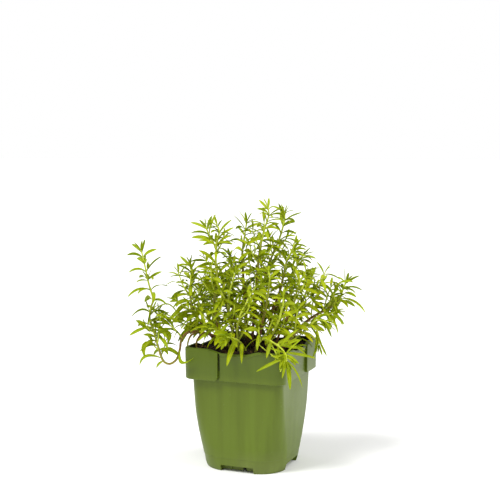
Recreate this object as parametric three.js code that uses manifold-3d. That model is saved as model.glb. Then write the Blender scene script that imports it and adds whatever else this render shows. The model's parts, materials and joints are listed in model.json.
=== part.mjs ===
// A potted winter savory: a square nursery pot, its soil and the leafy stems that grow from it.
// Millimetres, +Z up. The origin is on the ground under the middle of the pot.
// The pot's sides face X and Y. The plant was measured looking at the pot from one side of its
// near corner, so its points are kept in that view and turned into the pot's axes.

import * as THREE from 'three';
import { mergeVertices } from 'three/addons/utils/BufferGeometryUtils.js';
import Module from 'manifold-3d';

const wasm = await Module();
wasm.setup();

// Pot: half widths are measured from the middle to a flat side
const POT_HEIGHT = 108;
const RIM_HALF = 45;
const RIM_CORNER = 8.5;
const COLLAR_BOTTOM = 80.6;
const COLLAR_HALF_LOW = 44.6;
const BODY_HALF_TOP = 41.4;
const BODY_CORNER_TOP = 7.5;
const BASE_HALF = 36.4;
const BASE_CORNER = 24;
const WALL = 1.4;
const LIP_PROUD = 0.7;
const LIP_DEPTH = 2.6;
const RIM_DIP = 3;
const CREASE_HEIGHT = 11.5;
const FLOOR_UNDERSIDE = 5;
const FLOOR_THICKNESS = 1.6;
const FOOT_RING_HALF = 30.4;
const FOOT_RING_CORNER = 18;
const BOSS_RADIUS = 8;

// Corner pads on two opposite corners, each closed off by a slit
const PAD_PROUD = 1.8;
const PAD_ARM = 31;
const PAD_CORNER_ROUND = 4;
const SLIT_WIDTH = 1.5;
const SLIT_DEPTH = 0.8;
const PAD_TOP = POT_HEIGHT - 0.3;
const SLIT_TOP = POT_HEIGHT - 3.4;
const PAD_EDGE = 0.8;
const PAD_SINK = 0.3;
const PAD_CUT_REACH = 5;

// Openings between the four feet
const WINDOW_HALF = 15;
const WINDOW_HEIGHT = 5.4;
const WINDOW_WALL = 1.3;
const WINDOW_WALL_LIFT = 0.8;
const RIB_OFFSET = -7;
const RIB_WIDTH = 1.4;
const DRAIN_OFFSET = 5.5;
const DRAIN_TOP = 2;
const DRAIN_BOTTOM = 5;
const DRAIN_HEIGHT = 4.4;

// Soil
const SOIL_LEVEL = 101.5;
const SOIL_MOUND = 2.5;
const SOIL_BUMP = 1;
const GAP = 0.3;

// Plant
const VIEW_TURN = THREE.MathUtils.degToRad(21.2);
const STEM_TIP_RADIUS = 0.45;
const SIDE_SHOOT_RADIUS = 0.65;
const STEM_SIDES = 4;
const STEM_STEP = 9;
const BLADE_RINGS = [0, 0.16, 0.56, 1];
const BLADE_THICKNESS = 0.65;
const BLADE_LIFT = 0.8;
const BLADE_ROLL = 4;
const BROAD_FACE = [0, -0.8, 0.6];
const TIP_PAIR_DEPTH = 2.8;
const PAIR_SPACING = 4.2;
const SPACING_GROWTH = 0.5;
const AGEING_DEPTH = 40;
const FIRST_TURN = 20;
const FIRST_TURN_SPREAD = 50;
const CLEARANCE = 0.25;
const HOLE_STEPS = 2;

// Each stem's root radius, the bare length above its root, its leaves' usual length and its
// centre line from root to tip: x to the right in the view, y away from the viewer, z up.
// Side shoots start on the stem's centre line. Broad leaves that hang in places of their own
// grow at a distance along the stem and arch over to a tip.
const STEMS = [
  {
    name: 'stem_far_left', seed: 11, radius: 1.03, bare: 118, leaf: 17.7,
    line: [[-18, 0, 90], [-21, 0, 104], [-31, 0, 112], [-46, 0, 116.5], [-56, -3, 117], [-62, -7, 112],
      [-63.5, -10, 103], [-66, -12, 95], [-72, -12, 90.5], [-78, -11, 93], [-82, -9, 103], [-86, -7, 117],
      [-90, -6, 129], [-89, -6, 139], [-87, -6, 147], [-90.5, -6, 160], [-93, -6, 172], [-95.5, -6, 184],
      [-97, -6, 190]],
    shoots: [
      { bare: 4, line: [[-89.6, -6, 127], [-83, -11, 130], [-79, -13, 135], [-78, -14, 135]] },
      { bare: 5, line: [[-62, -7, 113], [-66, -10, 119], [-71, -12, 124], [-74, -13, 126]] },
    ],
    broad: [
      { at: 133, by: [-81, -10, 131], tip: [-72.9, -15, 127], half: 1.9 },
      { at: 122, by: [-94, -8, 122], tip: [-102.3, -10, 129], half: 1.8 },
      { at: 120, by: [-68.5, -10, 122], tip: [-74.4, -14, 108.6], half: 2.6 },
      { at: 109, by: [-99, -10, 114], tip: [-93.9, -12, 95.8], half: 2.4 },
      { at: 103, by: [-72.6, -14, 108.6], tip: [-65.2, -15, 98.2], half: 2.2 },
      { at: 98, by: [-96.2, -14, 103.3], tip: [-98.5, -14, 89], half: 1.5 },
      { at: 95, by: [-82, -13, 92], tip: [-83.7, -14, 87], half: 1.2 },
      { at: 72, by: [-64, -38, 88], tip: [-49.7, -34, 100.6], half: 1.6 },
    ],
  },
  {
    name: 'stem_left', seed: 23, radius: 0.88, bare: 40, leaf: 16.2,
    line: [[-29, 8, 90], [-32, 9, 104], [-38, 9, 113], [-47, 7, 126], [-53, 4, 138], [-55, 3, 152],
      [-54, 5, 168], [-55, 5, 176]],
    shoots: [],
    broad: [
      { at: 50, by: [-63, 0, 137], tip: [-71.5, -4, 123.6], half: 2 },
      { at: 42, by: [-52, 4, 124], tip: [-55, 2.5, 114], half: 3 },
      { at: 34, by: [-53, 7, 123], tip: [-61, 6, 113], half: 2.4 },
    ],
  },
  {
    name: 'stem_left_fork', seed: 35, radius: 0.98, bare: 44, leaf: 16.7,
    line: [[-22, -5, 90], [-24, -5, 104], [-29, -6, 118], [-32, -8, 134], [-33, -8, 148], [-30, -5, 162],
      [-32, -1, 178], [-31.5, 0, 192], [-29, 0, 206], [-31, 0, 211]],
    shoots: [
      { bare: 5, line: [[-31.6, 0, 189], [-34, -3, 196], [-38, -5, 204], [-40.5, -5, 210]] },
    ],
  },
  {
    name: 'stem_middle_back', seed: 41, radius: 0.98, bare: 54, leaf: 16.7,
    line: [[-4, 10, 90], [-4, 11, 108], [-6, 13, 138], [-8, 16, 164], [-9, 19, 184], [-6.5, 20, 203],
      [-5, 20, 213]],
    shoots: [],
  },
  {
    name: 'stem_tall', seed: 59, radius: 1.08, bare: 56, leaf: 16.7,
    line: [[0, 1, 90], [0, 2, 108], [2, 3, 136], [4, 5, 162], [6, 6, 184], [9.5, 8, 203], [14.5, 9, 219],
      [14, 10, 226]],
    shoots: [],
  },
  {
    name: 'stem_tall_back', seed: 67, radius: 0.98, bare: 62, leaf: 16.7,
    line: [[6, 14, 90], [6, 15, 108], [9, 17, 140], [12, 20, 166], [20, 23, 187], [25, 25, 199],
      [29, 25, 214],
      [29, 25, 221]],
    shoots: [],
  },
  {
    name: 'stem_right_tall', seed: 73, radius: 0.98, bare: 48, leaf: 16.2,
    line: [[12, -4, 90], [13, -4, 108], [17, -1, 132], [24, 3, 152], [28, 5, 168], [31, 6, 181],
      [37, 5, 189]],
    shoots: [],
  },
  {
    name: 'stem_right_back', seed: 83, radius: 0.88, bare: 56, leaf: 15.7,
    line: [[15, 7, 90], [16, 8, 110], [21, 10, 134], [30, 14, 154], [38, 17, 169], [43, 18, 180],
      [47, 18, 184]],
    shoots: [],
  },
  {
    name: 'stem_right_front', seed: 97, radius: 0.88, bare: 28, leaf: 15.7,
    line: [[20, -8, 90], [21, -8, 108], [28, -9, 126], [36, -9, 143], [40, -8, 158], [46, -8, 171],
      [48, -8, 172]],
    shoots: [],
  },
  {
    name: 'stem_right', seed: 101, radius: 0.88, bare: 30, leaf: 16.2,
    line: [[25, 1, 90], [27, 1, 108], [36, 1, 127], [43, 0, 140], [46.5, 0, 150], [52, 0, 162],
      [52.5, 0, 166]],
    shoots: [],
  },
  {
    name: 'stem_far_right', seed: 113, radius: 1.03, bare: 48, leaf: 17.2,
    line: [[30, 10, 90], [33, 10, 107], [44, 8, 121], [55, 6, 130], [69, 5, 138], [77, 5, 144.5],
      [80, 5, 153],
      [83, 5, 161]],
    shoots: [
      { bare: 7, line: [[69, 5, 138], [73, 4, 142], [72, 2, 149], [74, -1, 159], [75.5, -2, 159]] },
    ],
    broad: [
      { at: 78, by: [92.3, 0, 147], tip: [99.8, -2, 133.6], half: 1.4 },
      { at: 76, by: [82, 3, 144], tip: [84.5, 2, 138], half: 1.8 },
      { at: 71, by: [75, 3, 136], tip: [72.2, 0, 127], half: 2.5 },
      { at: 66, by: [77, 1, 131], tip: [80, 2, 121.7], half: 1.1 },
      { at: 62, by: [73, -2, 128], tip: [75.8, -3, 115.4], half: 1.2 },
    ],
  },
  {
    name: 'stem_low_right', seed: 127, radius: 0.83, bare: 32, leaf: 16.2,
    line: [[24, -15, 90], [27, -15, 105], [37, -18, 118], [48, -21, 126], [58, -22, 131], [64, -20, 129]],
    shoots: [
      { bare: 2, line: [[47, -20.7, 125.4], [54, -22, 124.5], [57, -22, 118], [57.5, -22, 110]] },
    ],
  },
  {
    name: 'stem_front', seed: 131, radius: 0.78, bare: 24, leaf: 15.7,
    line: [[-11, -17, 90], [-12, -18, 106], [-13, -22, 122], [-11, -27, 134], [-5, -28, 147], [1, -27, 158],
      [4, -26, 161]],
    shoots: [],
  },
  {
    name: 'stem_over_corner', seed: 149, radius: 0.78, bare: 48, leaf: 15.2,
    line: [[3, -20, 90], [3, -22, 104], [5, -32, 114], [12, -42, 117.5], [20, -50, 114.5], [25, -57, 111.5],
      [28, -62.5, 107], [28, -64, 102]],
    shoots: [],
    broad: [
      { at: 71, by: [15, -65, 102], tip: [3, -66, 95], half: 1.7 },
      { at: 73.5, by: [30.5, -66, 94], tip: [31, -67, 80], half: 2.4 },
      { at: 74, by: [37, -63, 97], tip: [41.5, -62, 80.5], half: 1.1 },
      { at: 68, by: [33, -62.5, 107], tip: [38.5, -64, 101], half: 1.4 },
      { at: 48, by: [14, -53, 115], tip: [11.5, -58.5, 104.5], half: 2.2 },
      { at: 58, by: [28, -57, 122], tip: [38.5, -58, 129.5], half: 1.9 },
      { at: 66, by: [40, -55, 108], tip: [53.5, -50, 103], half: 1.7 },
    ],
  },
  {
    name: 'stem_front_left', seed: 151, radius: 0.83, bare: 22, leaf: 16.2,
    line: [[-19, -13, 90], [-20, -14, 105], [-25, -21, 117], [-32, -28, 124], [-38, -32, 125]],
    shoots: [],
    broad: [
      { at: 29, by: [-29, -30, 119], tip: [-32.1, -38, 111.3], half: 2.4 },
    ],
  },
  {
    name: 'stem_front_low', seed: 163, radius: 0.78, bare: 34, leaf: 15.2,
    line: [[-5, -22, 90], [-6, -24, 105], [-12, -33, 115], [-18, -42, 119], [-22, -50, 121]],
    shoots: [],
    broad: [
      { at: 31, by: [-17, -42, 114], tip: [-21.5, -50, 96.2], half: 2.7 },
      { at: 24, by: [-9, -41, 114], tip: [-9, -53, 99], half: 1.8 },
      { at: 42, by: [-25, -44.5, 124], tip: [-33, -47, 123], half: 3 },
      { at: 40, by: [-23, -46, 121], tip: [-28.5, -51, 116], half: 2.8 },
    ],
  },
  {
    name: 'stem_front_right', seed: 179, radius: 0.88, bare: 24, leaf: 16.2,
    line: [[12, -15, 90], [13, -17, 106], [18, -27, 121], [23, -33, 134], [26, -35, 147], [26, -35, 152]],
    shoots: [],
  },
  {
    name: 'stem_inner_left', seed: 187, radius: 0.88, bare: 32, leaf: 15.7,
    line: [[-13, -7, 90], [-14, -8, 106], [-19, -12, 126], [-21, -15, 146], [-17, -16, 164],
      [-15, -15, 170]],
    shoots: [],
  },
  {
    name: 'stem_inner_right', seed: 193, radius: 0.88, bare: 34, leaf: 15.7,
    line: [[4, -10, 90], [5, -11, 106], [9, -14, 128], [13, -15, 148], [15, -14, 166], [14, -12, 172]],
    shoots: [],
  },
  {
    name: 'stem_inner_back', seed: 199, radius: 0.88, bare: 54, leaf: 15.7,
    line: [[-12, 6, 90], [-13, 7, 108], [-17, 11, 134], [-20, 14, 158], [-19, 15, 178], [-20, 15, 183]],
    shoots: [],
  },
  {
    name: 'stem_back_left', seed: 211, radius: 0.88, bare: 56, leaf: 16.2,
    line: [[-14, 17, 90], [-15, 19, 106], [-21, 28, 126], [-26, 34, 146], [-28, 37, 164], [-29, 38, 168]],
    shoots: [],
  },
  {
    name: 'stem_back', seed: 223, radius: 0.88, bare: 58, leaf: 16.2,
    line: [[3, 22, 90], [4, 24, 106], [8, 33, 126], [12, 39, 146], [14, 42, 162], [14, 43, 168]],
    shoots: [],
  },
  {
    name: 'stem_back_right', seed: 227, radius: 0.88, bare: 48, leaf: 15.7,
    line: [[17, 19, 90], [18, 21, 106], [26, 29, 124], [33, 34, 141], [37, 37, 155], [38, 38, 160]],
    shoots: [],
  },
  {
    name: 'stem_low_left', seed: 233, radius: 0.83, bare: 46, leaf: 15.7,
    line: [[-26, 17, 90], [-27, 19, 105], [-36, 26, 119], [-43, 31, 132], [-47, 33, 145], [-48, 33, 148]],
    shoots: [],
  },
  {
    name: 'stem_low_back', seed: 241, radius: 0.83, bare: 42, leaf: 15.7,
    line: [[-5, 30, 90], [-6, 32, 105], [-10, 43, 117], [-13, 52, 126], [-14, 57, 132]],
    shoots: [],
  },
  {
    name: 'stem_low_back_right', seed: 251, radius: 0.83, bare: 46, leaf: 15.7,
    line: [[15, 30, 90], [17, 32, 105], [27, 40, 117], [35, 46, 125], [40, 49, 131]],
    shoots: [],
  },
];

// The ways a leaf may be turned, in degrees about the stem and away from it, and shortened,
// until it crosses nothing. The first that is clear is kept.
const LEAF_TRIES = [
  { turn: 0, open: 0, scale: 1 },
  { turn: 20, open: 0, scale: 1 },
  { turn: -20, open: 0, scale: 1 },
  { turn: 0, open: -16, scale: 1 },
  { turn: 40, open: -8, scale: 0.9 },
  { turn: -40, open: -8, scale: 0.9 },
  { turn: 0, open: 18, scale: 0.9 },
  { turn: 60, open: 0, scale: 0.8 },
  { turn: -60, open: 0, scale: 0.8 },
  { turn: 0, open: -26, scale: 0.7 },
];

// Places along a straight side, from one corner arc to the next: those of the dipping rim and
// those of the soil
const RIM_STOPS = [-1, -0.64, -0.455, -0.27, 0.27, 0.455, 0.64, 1];
const SOIL_STOPS = [-1, -0.33, 0.33, 1];
const DIP_FLAT = 0.27;
const DIP_END = 0.64;

const UP = new THREE.Vector3(0, 0, 1);

function solidOf(geometry) {
  geometry.deleteAttribute('normal');
  geometry.deleteAttribute('uv');
  const merged = mergeVertices(geometry, 1e-4);
  const index = merged.index.array;
  const corners = [];
  for (let i = 0; i < index.length; i += 3) {
    const [a, b, c] = index.slice(i, i + 3);
    if (a !== b && b !== c && c !== a) corners.push(a, b, c);
  }
  const mesh = new wasm.Mesh({
    numProp: 3,
    vertProperties: new Float32Array(merged.attributes.position.array),
    triVerts: Uint32Array.from(corners),
  });
  return new wasm.Manifold(mesh);
}

// The largest body of a solid, with any sealed hollow filled and any scrap dropped
function wholeBody(solid) {
  const bodies = solid.decompose();
  bodies.sort((a, b) => b.volume() - a.volume());
  return bodies[0];
}

function meshOf(name, solid, look) {
  const mesh = wholeBody(solid).getMesh();
  const geometry = new THREE.BufferGeometry();
  geometry.setAttribute('position', new THREE.BufferAttribute(new Float32Array(mesh.vertProperties), 3));
  geometry.setIndex(new THREE.BufferAttribute(new Uint32Array(mesh.triVerts), 1));
  geometry.computeVertexNormals();
  const part = new THREE.Mesh(geometry, new THREE.MeshStandardMaterial(look));
  part.name = name;
  return part;
}

// How far down the rim dips at a place along a side, from 0 at the corners to 1 in the middle
function dipAt(place) {
  return THREE.MathUtils.clamp((DIP_END - Math.abs(place)) / (DIP_END - DIP_FLAT), 0, 1);
}

// The points of one rounded square, with how far the rim dips at each
function squareRing(half, corner, stops, cornerSteps) {
  const straight = half - corner;
  const points = [];
  for (let side = 0; side < 4; side += 1) {
    const turn = side * Math.PI / 2;
    const add = (x, y, dip) => {
      points.push({
        x: x * Math.cos(turn) - y * Math.sin(turn),
        y: x * Math.sin(turn) + y * Math.cos(turn),
        dip,
      });
    };
    for (const stop of stops) add(half, stop * straight, dipAt(stop));
    for (let step = 1; step < cornerSteps; step += 1) {
      const angle = step / cornerSteps * Math.PI / 2;
      add(straight + corner * Math.cos(angle), straight + corner * Math.sin(angle), 0);
    }
  }
  return points;
}

// A body like a lathed one, with a rounded square in place of each circle of its profile
function squareLathe(profile, stops, cornerSteps) {
  const rings = profile.map((level) => squareRing(level.half, level.corner, stops, cornerSteps));
  const around = rings[0].length;
  const outline = profile.map((level) => new THREE.Vector2(level.half, level.z));
  const geometry = new THREE.LatheGeometry(outline, around);
  const position = geometry.attributes.position;
  for (let column = 0; column <= around; column += 1) {
    for (let row = 0; row < profile.length; row += 1) {
      const point = rings[row][column % around];
      const level = profile[row];
      const dip = level.dips ? RIM_DIP * point.dip : 0;
      const bump = level.bump ? level.bump(point.x, point.y) : 0;
      position.setXYZ(column * profile.length + row, point.x, point.y, level.z - dip + bump);
    }
  }
  return solidOf(geometry);
}

function box(x0, x1, y0, y1, z0, z1) {
  const geometry = new THREE.BoxGeometry(x1 - x0, y1 - y0, z1 - z0);
  geometry.translate((x0 + x1) / 2, (y0 + y1) / 2, (z0 + z1) / 2);
  return solidOf(geometry);
}

// An outline drawn in x and z, pushed through from y0 to y1
function upright(outline, y0, y1) {
  const settings = { depth: y1 - y0, bevelEnabled: false, curveSegments: 4 };
  const geometry = new THREE.ExtrudeGeometry(outline, settings);
  geometry.rotateX(Math.PI / 2);
  geometry.translate(0, y1, 0);
  return geometry;
}

// Half width and corner radius of the body's outside at each height. The marked levels shape its
// inside too.
const BODY_LEVELS = [
  { z: 0, half: BASE_HALF, corner: BASE_CORNER },
  { z: 4, half: 37.4, corner: 24.4 },
  { z: CREASE_HEIGHT, half: 38.3, corner: 24 },
  { z: CREASE_HEIGHT + 0.6, half: 38.6, corner: 23.8 },
  { z: 22, half: 39.4, corner: 20.5, inside: true },
  { z: 35, half: 40.2, corner: 16 },
  { z: 50, half: 40.9, corner: 12, inside: true },
  { z: 65, half: 41.2, corner: 9.5 },
  { z: COLLAR_BOTTOM, half: BODY_HALF_TOP, corner: BODY_CORNER_TOP },
];

const CORNER_STEPS = 5;
const FLOOR_TOP = FLOOR_UNDERSIDE + FLOOR_THICKNESS;

function inner(level, offset, z) {
  return { z, half: level.half - offset, corner: level.corner - offset };
}

// The body's inside, or what fills it, from the floor up to the height top
function insideLevels(offset, floor, top) {
  return [
    inner(BODY_LEVELS[0], offset, floor),
    ...BODY_LEVELS.filter((level) => level.inside).map((level) => inner(level, offset, level.z)),
    inner(BODY_LEVELS[BODY_LEVELS.length - 1], offset, top),
  ];
}

function potBody() {
  const top = COLLAR_BOTTOM + WALL / 2;
  return squareLathe([
    { z: 0, half: 0, corner: 0 },
    { z: 0, half: BOSS_RADIUS, corner: BOSS_RADIUS - 0.1 },
    { z: FLOOR_UNDERSIDE, half: BOSS_RADIUS + 0.5, corner: BOSS_RADIUS + 0.4 },
    { z: FLOOR_UNDERSIDE, half: FOOT_RING_HALF, corner: FOOT_RING_CORNER },
    { z: 0, half: FOOT_RING_HALF, corner: FOOT_RING_CORNER },
    ...BODY_LEVELS,
    { z: top, half: BODY_HALF_TOP, corner: BODY_CORNER_TOP },
    ...insideLevels(WALL, FLOOR_TOP, top).reverse(),
    { z: FLOOR_TOP, half: 0, corner: 0 },
  ], [-1, 1], CORNER_STEPS);
}

function potCollar() {
  const lipFoot = POT_HEIGHT - LIP_DEPTH;
  const lipHalf = RIM_HALF + LIP_PROUD;
  const shelf = { half: BODY_HALF_TOP - WALL / 2, corner: BODY_CORNER_TOP - WALL / 2 };
  return squareLathe([
    { z: COLLAR_BOTTOM, ...shelf },
    { z: COLLAR_BOTTOM, half: COLLAR_HALF_LOW, corner: RIM_CORNER },
    { z: lipFoot, half: RIM_HALF, corner: RIM_CORNER, dips: true },
    { z: lipFoot + 0.3, half: lipHalf, corner: RIM_CORNER + LIP_PROUD, dips: true },
    { z: POT_HEIGHT - 0.6, half: lipHalf, corner: RIM_CORNER + LIP_PROUD, dips: true },
    { z: POT_HEIGHT, half: RIM_HALF + 0.1, corner: RIM_CORNER, dips: true },
    { z: POT_HEIGHT, half: RIM_HALF - 1, corner: RIM_CORNER - 1, dips: true },
    { z: POT_HEIGHT - 0.8, half: RIM_HALF - WALL, corner: RIM_CORNER - WALL, dips: true },
    { z: COLLAR_BOTTOM + WALL, half: COLLAR_HALF_LOW - WALL, corner: RIM_CORNER - WALL },
    { z: COLLAR_BOTTOM + WALL, ...shelf },
    { z: COLLAR_BOTTOM, ...shelf },
  ], RIM_STOPS, CORNER_STEPS);
}

// One arm of a pad as an outline in x and z, up to a height, with its lower inner corner rounded
function armOutline(grow, top) {
  const end = -RIM_HALF + PAD_ARM + grow;
  const foot = COLLAR_BOTTOM - grow;
  const round = PAD_CORNER_ROUND + grow;
  const outside = -RIM_HALF - PAD_CUT_REACH;
  const shape = new THREE.Shape();
  shape.moveTo(outside, foot);
  shape.lineTo(end - round, foot);
  shape.absarc(end - round, foot + round, round, -Math.PI / 2, 0, false);
  shape.lineTo(end, top);
  shape.lineTo(outside, top);
  shape.closePath();
  return shape;
}

// Both arms of a corner's pad, from a place in front of the side to the place inside. The second
// arm is the first one mirrored in the corner's diagonal.
function cornerArms(grow, top, inside) {
  const first = upright(armOutline(grow, top), -RIM_HALF - PAD_CUT_REACH, inside);
  const second = first.clone().rotateZ(-Math.PI / 2).scale(1, -1, 1);
  flipFaces(second);
  return solidOf(first).add(solidOf(second));
}

function flipFaces(geometry) {
  const position = geometry.attributes.position;
  for (let i = 0; i < position.count; i += 3) {
    const b = new THREE.Vector3().fromBufferAttribute(position, i + 1);
    const c = new THREE.Vector3().fromBufferAttribute(position, i + 2);
    position.setXYZ(i + 1, c.x, c.y, c.z);
    position.setXYZ(i + 2, b.x, b.y, b.z);
  }
}

// The pad of one corner and the slit round it
function cornerPad() {
  const padHalf = RIM_HALF + PAD_PROUD;
  const block = squareLathe([
    { z: COLLAR_BOTTOM, half: 0, corner: 0 },
    { z: COLLAR_BOTTOM, half: padHalf - PAD_EDGE, corner: RIM_CORNER },
    { z: COLLAR_BOTTOM + 1, half: padHalf - 0.2, corner: RIM_CORNER },
    { z: PAD_TOP - PAD_EDGE, half: padHalf, corner: RIM_CORNER, dips: true },
    { z: PAD_TOP, half: padHalf - PAD_EDGE, corner: RIM_CORNER, dips: true },
    { z: PAD_TOP, half: 0, corner: 0 },
  ], RIM_STOPS, CORNER_STEPS);
  const slitFloor = -COLLAR_HALF_LOW + SLIT_DEPTH;
  const pad = block.intersect(cornerArms(0, POT_HEIGHT, slitFloor + PAD_SINK));
  const slit = cornerArms(SLIT_WIDTH, SLIT_TOP, slitFloor);
  return { pad, slit };
}

// The outline of a drain notch, open at the bottom
function drainOutline() {
  const shape = new THREE.Shape();
  shape.moveTo(DRAIN_OFFSET - DRAIN_BOTTOM / 2, -1);
  shape.lineTo(DRAIN_OFFSET + DRAIN_BOTTOM / 2, -1);
  shape.lineTo(DRAIN_OFFSET + DRAIN_TOP / 2, DRAIN_HEIGHT);
  shape.lineTo(DRAIN_OFFSET - DRAIN_TOP / 2, DRAIN_HEIGHT);
  shape.closePath();
  return shape;
}

// What is cut away between two feet on the side that faces -Y
function footWindow() {
  const front = -BODY_HALF_TOP;
  const back = -FOOT_RING_HALF - WINDOW_WALL;
  const recess = box(-WINDOW_HALF, WINDOW_HALF, front, back, -1, WINDOW_HEIGHT);
  const ribLeft = RIB_OFFSET - RIB_WIDTH / 2;
  const rib = box(ribLeft, ribLeft + RIB_WIDTH, back - 1.2, back + 1, 0, WINDOW_HEIGHT + 1);
  const lift = box(-WINDOW_HALF, WINDOW_HALF, back - 2, -FOOT_RING_HALF + 1, -1, WINDOW_WALL_LIFT);
  const drain = solidOf(upright(drainOutline(), back - 2, -FOOT_RING_HALF + 2));
  return recess.subtract(rib).add(lift).add(drain);
}

function makePot() {
  let pot = potBody().add(potCollar());
  const { pad, slit } = cornerPad();
  const window = footWindow();
  for (const turn of [0, 180]) pot = pot.subtract(slit.rotate([0, 0, turn])).add(pad.rotate([0, 0, turn]));
  for (const turn of [0, 90, 180, 270]) pot = pot.subtract(window.rotate([0, 0, turn]));
  return pot;
}

// A gentle unevenness of the soil's surface
function soilBump(x, y) {
  return SOIL_BUMP * (Math.sin(x * 0.31 + 1.3) * Math.cos(y * 0.27) + 0.6 * Math.sin(x * 0.11 - y * 0.53));
}

function makeSoil() {
  const offset = WALL + GAP;
  const shelf = COLLAR_BOTTOM + WALL + GAP;
  const edge = RIM_HALF - offset - 0.2;
  const top = [1, 0.78, 0.54, 0.28].map((share) => ({
    z: SOIL_LEVEL + SOIL_MOUND * (1 - share * share),
    half: edge * share,
    corner: (RIM_CORNER - offset) * share,
    bump: soilBump,
  }));
  return squareLathe([
    { z: FLOOR_TOP + GAP, half: 0, corner: 0 },
    ...insideLevels(offset, FLOOR_TOP + GAP, shelf),
    { z: shelf, half: COLLAR_HALF_LOW - offset, corner: RIM_CORNER - offset },
    ...top,
    { z: SOIL_LEVEL + SOIL_MOUND, half: 0, corner: 0, bump: soilBump },
  ], SOIL_STOPS, 2);
}

// Numbers that look random and come out the same each time
function drawsFrom(seed) {
  let state = seed;
  return () => {
    state = (Math.imul(state, 1664525) + 1013904223) >>> 0;
    return state / 4294967296;
  };
}

function turned(point) {
  return new THREE.Vector3(...point).applyAxisAngle(UP, VIEW_TURN);
}

// A centre line is a smooth curve through its points, kept as short straight runs with the
// distance of each from the start
const RUNS_A_SPAN = 8;

function centreLine(points) {
  const curve = new THREE.CatmullRomCurve3(points.map(turned), false, 'catmullrom', 0.5);
  const places = curve.getPoints((points.length - 1) * RUNS_A_SPAN);
  const reach = [0];
  for (let i = 1; i < places.length; i += 1) reach.push(reach[i - 1] + places[i].distanceTo(places[i - 1]));
  return { places, reach, length: reach[reach.length - 1] };
}

function placeOn(line, distance) {
  let run = 1;
  while (run < line.reach.length - 1 && line.reach[run] < distance) run += 1;
  const share = (distance - line.reach[run - 1]) / (line.reach[run] - line.reach[run - 1]);
  const from = line.places[run - 1];
  const to = line.places[run];
  return { centre: from.clone().lerp(to, share), along: to.clone().sub(from).normalize() };
}

function stepsAlong(line) {
  return Math.max(2, Math.round(line.length / STEM_STEP));
}

// The heart of a stem's solid at a distance from its root. The solid's straight steps cut the bends
// of the centre line.
function heartOf(line, distance) {
  const steps = stepsAlong(line);
  const passed = distance / line.length * steps;
  const step = Math.min(Math.floor(passed), steps - 1);
  const low = placeOn(line, line.length * step / steps).centre;
  const high = placeOn(line, line.length * (step + 1) / steps).centre;
  return low.lerp(high, passed - step);
}

// A tapering square stem along a centre line, with its flat sides turned toward the leaf pairs, or
// the hole for its first few steps
function stemSolid(line, turn, rootRadius, holeSteps) {
  const steps = stepsAlong(line);
  const count = holeSteps || steps;
  const grow = holeSteps ? GAP : 0;
  const start = THREE.MathUtils.degToRad(turn) + Math.PI / STEM_SIDES;
  const geometry = new THREE.CylinderGeometry(1, 1, 1, STEM_SIDES, count, false, start);
  const position = geometry.attributes.position;
  const frames = [];
  let side = turned([1, 0, 0]);
  for (let step = 0; step <= count; step += 1) {
    const { centre, along } = placeOn(line, line.length * step / steps);
    side = side.clone().addScaledVector(along, -side.dot(along)).normalize();
    const radius = THREE.MathUtils.lerp(rootRadius, STEM_TIP_RADIUS, step / steps) + grow;
    frames.push({ centre, side, across: side.clone().cross(along), radius });
  }
  frames[0].centre.z -= grow;
  for (let i = 0; i < position.count; i += 1) {
    const frame = frames[Math.round((position.getY(i) + 0.5) * count)];
    const point = frame.centre.clone();
    point.addScaledVector(frame.side, position.getX(i) * frame.radius);
    point.addScaledVector(frame.across, position.getZ(i) * frame.radius);
    position.setXYZ(i, point.x, point.y, point.z);
  }
  return solidOf(geometry);
}

// Half width of a blade at a share of its length, against its greatest half width
function bladeWidth(share) {
  return 2.6 * share ** 0.85 * (1 - share) ** 0.65;
}

// A blade arches from its root by a control point to its tip, and is pointed at both ends. Its
// top is flat across and its underside has a keel. Its rings come from a three-sided sphere.
function bladeSolid(leaf, grow) {
  const curve = new THREE.QuadraticBezierCurve3(leaf.root, leaf.control, leaf.tip);
  const steps = BLADE_RINGS.length - 1;
  const geometry = new THREE.SphereGeometry(1, 3, steps);
  const position = geometry.attributes.position;
  const across = leaf.tip.clone().sub(leaf.root).cross(leaf.face).normalize();
  for (let i = 0; i < position.count; i += 1) {
    const row = Math.round((1 - Math.acos(position.getY(i)) / Math.PI) * steps);
    const share = BLADE_RINGS[row];
    const ring = Math.max(Math.sin(row / steps * Math.PI), 1e-6);
    const side = -position.getZ(i) / ring / Math.sin(Math.PI * 2 / 3);
    const keel = (0.5 - position.getX(i) / ring) / 1.5;
    const along = curve.getTangent(share);
    const width = across.clone().addScaledVector(along, -across.dot(along)).normalize();
    const top = width.clone().cross(along);
    const point = curve.getPoint(share);
    if (row > 0 && row < steps) {
      point.addScaledVector(width, side * (bladeWidth(share) * leaf.half + 2 * grow));
      point.addScaledVector(top, grow - keel * (BLADE_THICKNESS + 3 * grow));
    }
    position.setXYZ(i, point.x, point.y, point.z);
  }
  return solidOf(geometry);
}

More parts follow.
